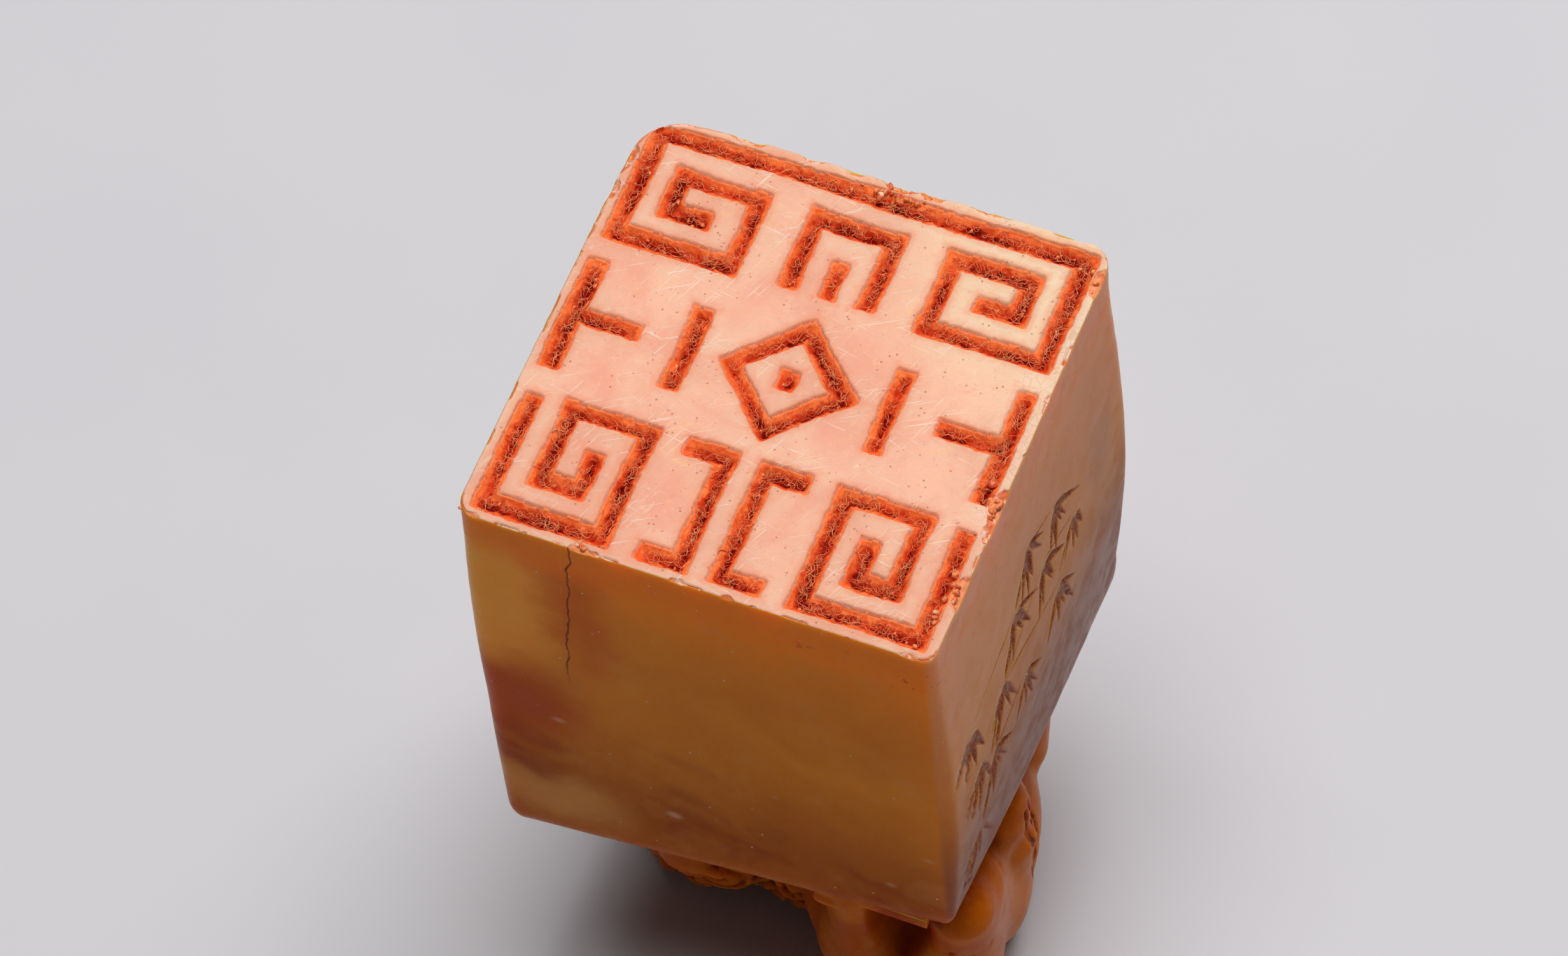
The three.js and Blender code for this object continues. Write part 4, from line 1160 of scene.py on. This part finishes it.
def body_colour(s):
    """Clouded honey stone with a painted amber glow towards the face, darker towards the bottom, with
    patches, veins, a crack and specks on the front.
    """
    x, y, z = s.node("SeparateXYZ", inputs={0: s.place}).outputs
    wander = s.node("TexNoise", inputs={"Vector": s.place, "Scale": 0.25, "Detail": 4.0}).outputs["Color"]
    centred = s.vector("SUBTRACT", s.vector("SCALE", wander, 4.0), (2.0, 2.0, 2.0))
    bent = s.vector("ADD", s.place, centred)
    bent_z = s.node("SeparateXYZ", inputs={0: bent}).outputs[2]
    colour = s.mix(s.ramp(s.noise(0.13, 4, 0.55, 0.6), 0.35, 0.65), STONE_LIGHT, STONE_DARK)
    # Painted glow: lighter amber towards the face, standing in for light passing through from the lit face
    colour = s.mix(s.ramp(bent_z, 31.0, 41.0, 0, 0.85), colour, PAINTED_AMBER_GLOW)
    colour = s.mix(s.ramp(bent_z, 29.0, 18.5, 0, 0.9), colour, STONE_LOW)
    mist = s.noise(0.45, 5, 0.62, at=bent)
    colour = s.mix(s.ramp(mist, 0.48, 0.72, 0, 0.25), colour, STONE_PALE)
    for centre, radii, soft, share, patch in FRONT_PATCHES:
        colour = s.tint(colour, patch, s.near_point(centre, radii, soft, bent), share)
    slope = s.plus(bent_z, s.times(x, VEIN_SLOPE))
    broken_up = s.ramp(s.noise(0.16, 3, 0.6, at=bent), 0.40, 0.58)
    for level, width, share in VEINS:
        gap = s.math("ABSOLUTE", s.minus(slope, level))
        vein = s.times(s.ramp(gap, 1.8 * width, 0.0), broken_up)
        colour = s.tint(colour, STONE_VEIN, vein, share)
    # Painted glow: the top of the sides lighter, just below the lit face
    colour = s.mix(s.ramp(z, 37.0, 39.6), colour, PAINTED_RIM_GLOW)
    # Fine crack down the front by the pale streak
    crack_x = s.plus(s.times(s.minus(z, CRACK_Z), CRACK_LEAN), CRACK_X)
    crack_gap = s.math("ABSOLUTE", s.plus(s.minus(x, crack_x), s.waver(0.8, 0.5, 3, 0.6)))
    crack_zone = s.times(s.ramp(y, -8.2, -9.4), s.ramp(z, 28.5, 31.0))
    colour = s.tint(colour, STONE_CRACK, s.times(s.ramp(crack_gap, 0.06, 0.015), crack_zone), 0.9)
    speck = s.times(s.dots(1.15, 0.075, 0.04), s.ramp(mist, 0.42, 0.48))
    colour = s.tint(colour, WHITE_SPECK, speck, 0.8)
    for centre, radius in PALE_SPOTS:
        spot = s.near_point(centre, (radius * 1.5, radius * 1.5, radius), 0.1)
        colour = s.tint(colour, PALE_SPOT, spot, 0.55)
    return colour


def paste_flecks(s, x, z):
    """Red flecks of paste near the top edges of the sides."""
    by_front = s.near_point((5.2, -10, 38.9), (2.6, 1.4, 1.0), 0.2)
    by_corner = s.near_point((9.6, -9.6, 38.6), (3.4, 3.4, 2.2), 0.2)
    on_right = s.times(s.ramp(x, 9.0, 9.8), s.ramp(z, 30.0, 40.0, 0, 0.75))
    return s.times(s.ramp(s.noise(1.7, 3, 0.7), 0.63, 0.67), s.largest(by_corner, on_right, by_front))


def land_scratches(s):
    """Thin straight scratches on the face, lying a few ways."""
    lines = []
    for angle, across, along, seed in LAND_SCRATCHES:
        move = {"Vector": s.place, "Rotation": (0, 0, angle), "Location": (seed, 0, 0)}
        turned = s.node("Mapping", inputs=move)
        stretched = s.node("Mapping", inputs={"Vector": turned.outputs[0], "Scale": (across, along, 1.0)})
        lines.append(s.ramp(s.noise(1.0, 2, 0.55, at=stretched.outputs[0]), 0.62, 0.69))
    return s.largest(*lines)


def land_colour(s, reach, grain, scratches):
    """Ground face of the stone, stained pink by paste, creamier at the back right."""
    land = s.mix(s.ramp(s.noise(0.22, 5, 0.62, 0.5), 0.34, 0.66), (0.85, 0.465, 0.325), (0.81, 0.355, 0.245))
    land = s.tint(land, (0.87, 0.60, 0.40), s.near_point((9.0, 8.5, 40.6), (11, 10.5, 5), 0.15), 0.85)
    land = s.mix(s.ramp(s.noise(0.5, 5, 0.7, 0.8), 0.58, 0.74, 0, 0.55), land, (0.93, 0.50, 0.22))
    land = s.mix(s.ramp(grain, 0.56, 0.72, 0, 0.55), land, (0.80, 0.31, 0.20))
    land = s.mix(s.ramp(grain, 0.42, 0.3, 0, 0.45), land, (0.95, 0.66, 0.52))
    halo = s.ramp(s.plus(reach, s.waver(0.5, 1.8, 4, 0.7)), -0.34, -0.02)
    land = s.tint(land, (0.86, 0.27, 0.15), halo, 0.5)
    for scale, (large, small), (patches, low, high), share, speck in LAND_SPECKS:
        gathered = s.ramp(s.noise(patches, 3, 0.6), low, high)
        land = s.tint(land, speck, s.times(s.dots(scale, large, small), gathered), share)
    # Pale crackled margin along the right edge
    crackle = s.node("TexVoronoi", {"feature": "DISTANCE_TO_EDGE"}, {"Vector": s.place, "Scale": 2.6})
    margin = s.near_point((9.6, 1.5, 40.6), (1.5, 8.5, 3.0), 0.35)
    land = s.tint(land, (0.92, 0.67, 0.49), margin, 0.4)
    lines = s.times(s.ramp(crackle.outputs["Distance"], 0.05, 0.01), margin)
    land = s.tint(land, (0.62, 0.30, 0.17), lines, 0.5)
    scratched = s.ramp(s.noise(0.35, 3, 0.6), 0.42, 0.6, 0.1, 0.5)
    land = s.tint(land, (0.97, 0.74, 0.60), scratches, scratched)
    uneven_rim = s.ramp(s.noise(1.9, 4, 0.7), 0.4, 0.62, 0.0, 0.4)
    return s.tint(land, (0.84, 0.20, 0.07), s.ramp(reach, -0.045, -0.005), uneven_rim)


def shaft_material():
    s = Shading("honey_soapstone_shaft")
    x, _, z = s.node("SeparateXYZ", inputs={0: s.place}).outputs
    reach, face, spray = s.attribute("reach"), s.attribute("face"), s.attribute("spray")
    worn = s.ramp(s.attribute("wear"), 0.035, 0.09)
    colour = s.tint(body_colour(s), (0.42, 0.05, 0.02), paste_flecks(s, x, z), 0.8)
    bruise = s.near_point((10.2, 6.6, 31.0), (2.0, 2.2, 4.0), 0.2)
    colour = s.tint(colour, (0.30, 0.14, 0.14), bruise, 0.35)
    right_side = s.ramp(x, 9.6, 9.98)
    # Painted sheen: a pale mauve film on the right side, stronger towards the top, in place of a reflection
    colour = s.tint(colour, (0.72, 0.33, 0.20), right_side, s.ramp(z, 26.0, 37.0, 0.1, 0.5))
    # Painted shade: the right side darker towards the bottom
    colour = s.tint(colour, (0.20, 0.05, 0.02), right_side, s.ramp(z, 33.0, 18.0, 0, 0.8))
    grain = s.noise(2.6, 6, 0.8)
    scratches = land_scratches(s)
    colour = s.mix(face, colour, land_colour(s, reach, grain, scratches))
    broken = s.mix(s.ramp(s.noise(0.9, 4, 0.7), 0.50, 0.56), (0.84, 0.27, 0.11), (0.93, 0.60, 0.46))
    broken = s.mix(s.ramp(s.noise(1.6, 4, 0.7), 0.50, 0.57), broken, (0.78, 0.15, 0.05))
    colour = s.tint(colour, broken, worn, 0.85)
    dust = s.mix(s.ramp(s.noise(7.0, 4, 0.7), 0.4, 0.6), (0.27, 0.055, 0.020), (0.48, 0.18, 0.09))
    s.set("Base Color", s.mix(s.ramp(spray, -0.03, 0.04), colour, dust))
    height = s.plus(s.times(scratches, -0.8), s.times(s.noise(12.0, 3, 0.6), 0.5))
    height = s.times(s.plus(height, s.times(grain, 0.8)), s.plus(s.times(face, 0.96), 0.04))
    s.bump(height, 0.5, 0.03)
    rough = s.plus(s.ramp(s.noise(0.8, 4, 0.6), 0.35, 0.7, 0.20, 0.34), s.times(face, 0.25))
    s.stone(s.plus(rough, s.times(worn, 0.15)), 1.08, 4.0)
    by_rim = s.times(s.ramp(z, 35.0, 39.0, 0, 0.4), s.ramp(face, 0.0, 1.0, 1.0, 0.0))
    weight = s.plus(s.ramp(face, 0.0, 1.0, GLOW_SHARE, 0.3), by_rim)
    s.set("Subsurface Weight", s.times(weight, s.ramp(worn, 0.0, 1.0, 1.0, 0.1)))
    return s.material


def paste_material():
    s = Shading("dried_seal_paste")
    reach = s.attribute("reach")
    mottle = s.noise(7.0, 4, 0.7)
    wall = s.mix(s.ramp(s.noise(0.9, 4, 0.65, 0.6), 0.35, 0.65), (0.90, 0.200, 0.050), (0.76, 0.105, 0.022))
    wall = s.mix(s.ramp(mottle, 0.52, 0.7, 0, 0.5), wall, (0.92, 0.29, 0.09))
    wall = s.mix(s.ramp(mottle, 0.44, 0.28, 0, 0.45), wall, (0.56, 0.05, 0.016))
    # Partly the paste's own colour, partly painted highlight and shade: walls lighter by the rim, darker
    # deeper in, and a near-black core along the middle
    wall = s.mix(s.ramp(reach, 0.13, 0.02, 0, 0.7), wall, (0.95, 0.28, 0.10))
    depth = s.plus(reach, s.plus(s.waver(0.55, 2.2, 5, 0.75), s.waver(0.5, 0.55, 2, 0.5)))
    wall = s.mix(s.ramp(depth, 0.17, 0.32, 0, 0.85), wall, (0.56, 0.03, 0.007))
    core = s.mix(s.ramp(mottle, 0.4, 0.65), (0.14, 0.002, 0.001), (0.36, 0.010, 0.003))
    core = s.mix(s.ramp(s.noise(1.3, 3, 0.6), 0.62, 0.68, 0, 0.3), core, (0.34, 0.09, 0.025))
    s.set("Base Color", s.mix(s.ramp(depth, 0.36, 0.43), wall, core))
    s.bump(s.noise(11.0, 4, 0.7), 0.7, 0.04)
    s.set("Roughness", s.ramp(mottle, 0.3, 0.7, 0.5, 0.75))
    s.set("IOR", 1.14)
    return s.material


def clot_material():
    s = Shading("paste_clots")
    mottle = s.noise(5.0, 4, 0.7)
    colour = s.mix(s.ramp(mottle, 0.4, 0.62), (0.60, 0.07, 0.022), (0.86, 0.30, 0.09))
    s.set("Base Color", s.mix(s.ramp(s.noise(2.0, 2, 0.5), 0.62, 0.7, 0, 0.8), colour, (0.92, 0.66, 0.42)))
    s.bump(s.noise(14.0, 3, 0.6), 0.5, 0.03)
    s.set("Roughness", s.ramp(mottle, 0.3, 0.7, 0.4, 0.65))
    return s.material


def fibre_material():
    s = Shading("stained_fibres")
    tone = s.attribute("tone")
    colour = s.mix(s.ramp(tone, 0.1, 0.9), (0.84, 0.19, 0.05), (0.95, 0.46, 0.20))
    s.set("Base Color", s.mix(s.ramp(s.noise(4.0, 3, 0.6), 0.45, 0.65, 0, 0.6), colour, (0.66, 0.08, 0.02)))
    s.set("Roughness", s.ramp(tone, 0.0, 1.0, 0.45, 0.7))
    return s.material


def knob_material():
    s = Shading("honey_soapstone_knob")
    cloud = s.ramp(s.noise(0.28, 4, 0.55, 0.6), 0.35, 0.65)
    # Stone darker than the shaft's: painted shade of the knob below the shaft
    colour = s.mix(cloud, (0.58, 0.135, 0.005), (0.45, 0.080, 0.003))
    colour = s.mix(s.ramp(s.noise(0.9, 5, 0.62), 0.52, 0.74, 0, 0.4), colour, (0.66, 0.22, 0.022))
    # Painted shade: deep red in the hollows
    for centre, radii in KNOB_SHADED_HOLLOWS:
        colour = s.tint(colour, (0.32, 0.006, 0.003), s.near_point(centre, radii, 0.45), 0.95)
    # Painted shade: darker in the carving's creases and hollows
    crease_shade = s.ramp(s.attribute("hollow"), 0.15, 0.75)
    s.set("Base Color", s.tint(colour, (0.17, 0.022, 0.004), crease_shade, 0.8))
    s.bump(s.noise(6.0, 4, 0.6), 0.2, 0.03)
    s.stone(s.ramp(s.noise(0.8, 4, 0.6), 0.35, 0.7, 0.18, 0.3), 1.1, 1.3)
    return s.material


for piece, material in ((shaft, shaft_material()), (knob, knob_material()), (paste, paste_material()),
                        (clots, clot_material()), (fibres, fibre_material())):
    piece.data.materials.append(material)

# Camera, fitted to the face's corners and the shaft's edges
AZIMUTH, ELEVATION, ROLL = math.radians(27.59), math.radians(59.16), math.radians(6.51)
CAMERA_OFFSET = Vector((64.374, -124.414, 227.128)) * MM
FOCAL_LENGTH_PIXELS, PICTURE_WIDTH_PIXELS = 10700, 2464
SENSOR_WIDTH = 36
level_share = math.cos(ELEVATION)
forward = Vector((-math.sin(AZIMUTH) * level_share, math.cos(AZIMUTH) * level_share, -math.sin(ELEVATION)))
level_right = Vector((math.cos(AZIMUTH), math.sin(AZIMUTH), 0))
level_up = level_right.cross(forward)
right = level_right * math.cos(ROLL) - level_up * math.sin(ROLL)
up = level_up * math.cos(ROLL) + level_right * math.sin(ROLL)
camera_data = bpy.data.cameras.new("photo_camera")
camera_data.sensor_width = SENSOR_WIDTH
camera_data.lens = SENSOR_WIDTH * FOCAL_LENGTH_PIXELS / PICTURE_WIDTH_PIXELS
camera_data.clip_start = 0.01
camera = bpy.data.objects.new("photo_camera", camera_data)
bpy.context.scene.collection.objects.link(camera)
pose = Matrix((right, up, -forward)).transposed().to_4x4()
pose.translation = Vector((FACE_CENTRE_X, FACE_CENTRE_Y, FACE_Z)) * MM + CAMERA_OFFSET
camera.matrix_world = pose
bpy.context.scene.camera = camera

# Floor and light, in metres
FLOOR_HALF = 1.5
WORLD_STRENGTH = 0.045
LIGHT_TARGET = Vector((0, 0, 0.02))
# Lamps: name, place, size, energy
LAMPS = [("soft_key", (0.06, 0.17, 0.48), 0.2, 1.5), ("soft_top", (-0.02, -0.015, 0.56), 0.22, 1.62)]


def build_floor():
    corners = [(-1, -1, 0), (1, -1, 0), (1, 1, 0), (-1, 1, 0)]
    made = make_object("floor", np.array(corners) * FLOOR_HALF / MM, [(0, 1, 2, 3)])
    s = Shading("pale_grey_card")
    cloud = s.ramp(s.noise(0.06, 3, 0.5), 0.3, 0.7)
    s.set("Base Color", s.mix(cloud, (0.600, 0.590, 0.616), (0.614, 0.602, 0.626)))
    s.set("Roughness", 0.9)
    made.data.materials.append(s.material)


def add_area_light(name, place, size, energy):
    data = bpy.data.lights.new(name, "AREA")
    data.energy = energy
    data.size = size
    lamp = bpy.data.objects.new(name, data)
    bpy.context.scene.collection.objects.link(lamp)
    lamp.location = place
    lamp.rotation_euler = (LIGHT_TARGET - Vector(place)).to_track_quat("-Z", "Y").to_euler()


build_floor()
for lamp_values in LAMPS:
    add_area_light(*lamp_values)
world = bpy.data.worlds.new("studio")
bpy.context.scene.world = world
world.use_nodes = True
world.node_tree.nodes["Background"].inputs["Color"].default_value = (1, 1, 1, 1)
world.node_tree.nodes["Background"].inputs["Strength"].default_value = WORLD_STRENGTH
bpy.context.scene.view_settings.view_transform = "Standard"

# Pieces and the nodes they stand for
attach(shaft, "root")
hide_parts("seal_shaft")
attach(knob, "root")
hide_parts(*[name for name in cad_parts
                    if name != "seal_shaft" and not name.startswith("paste_")])
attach(paste, "root")
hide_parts(*[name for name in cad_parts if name.startswith("paste_")])
for piece in (clots, fibres):
    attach(piece, "root")
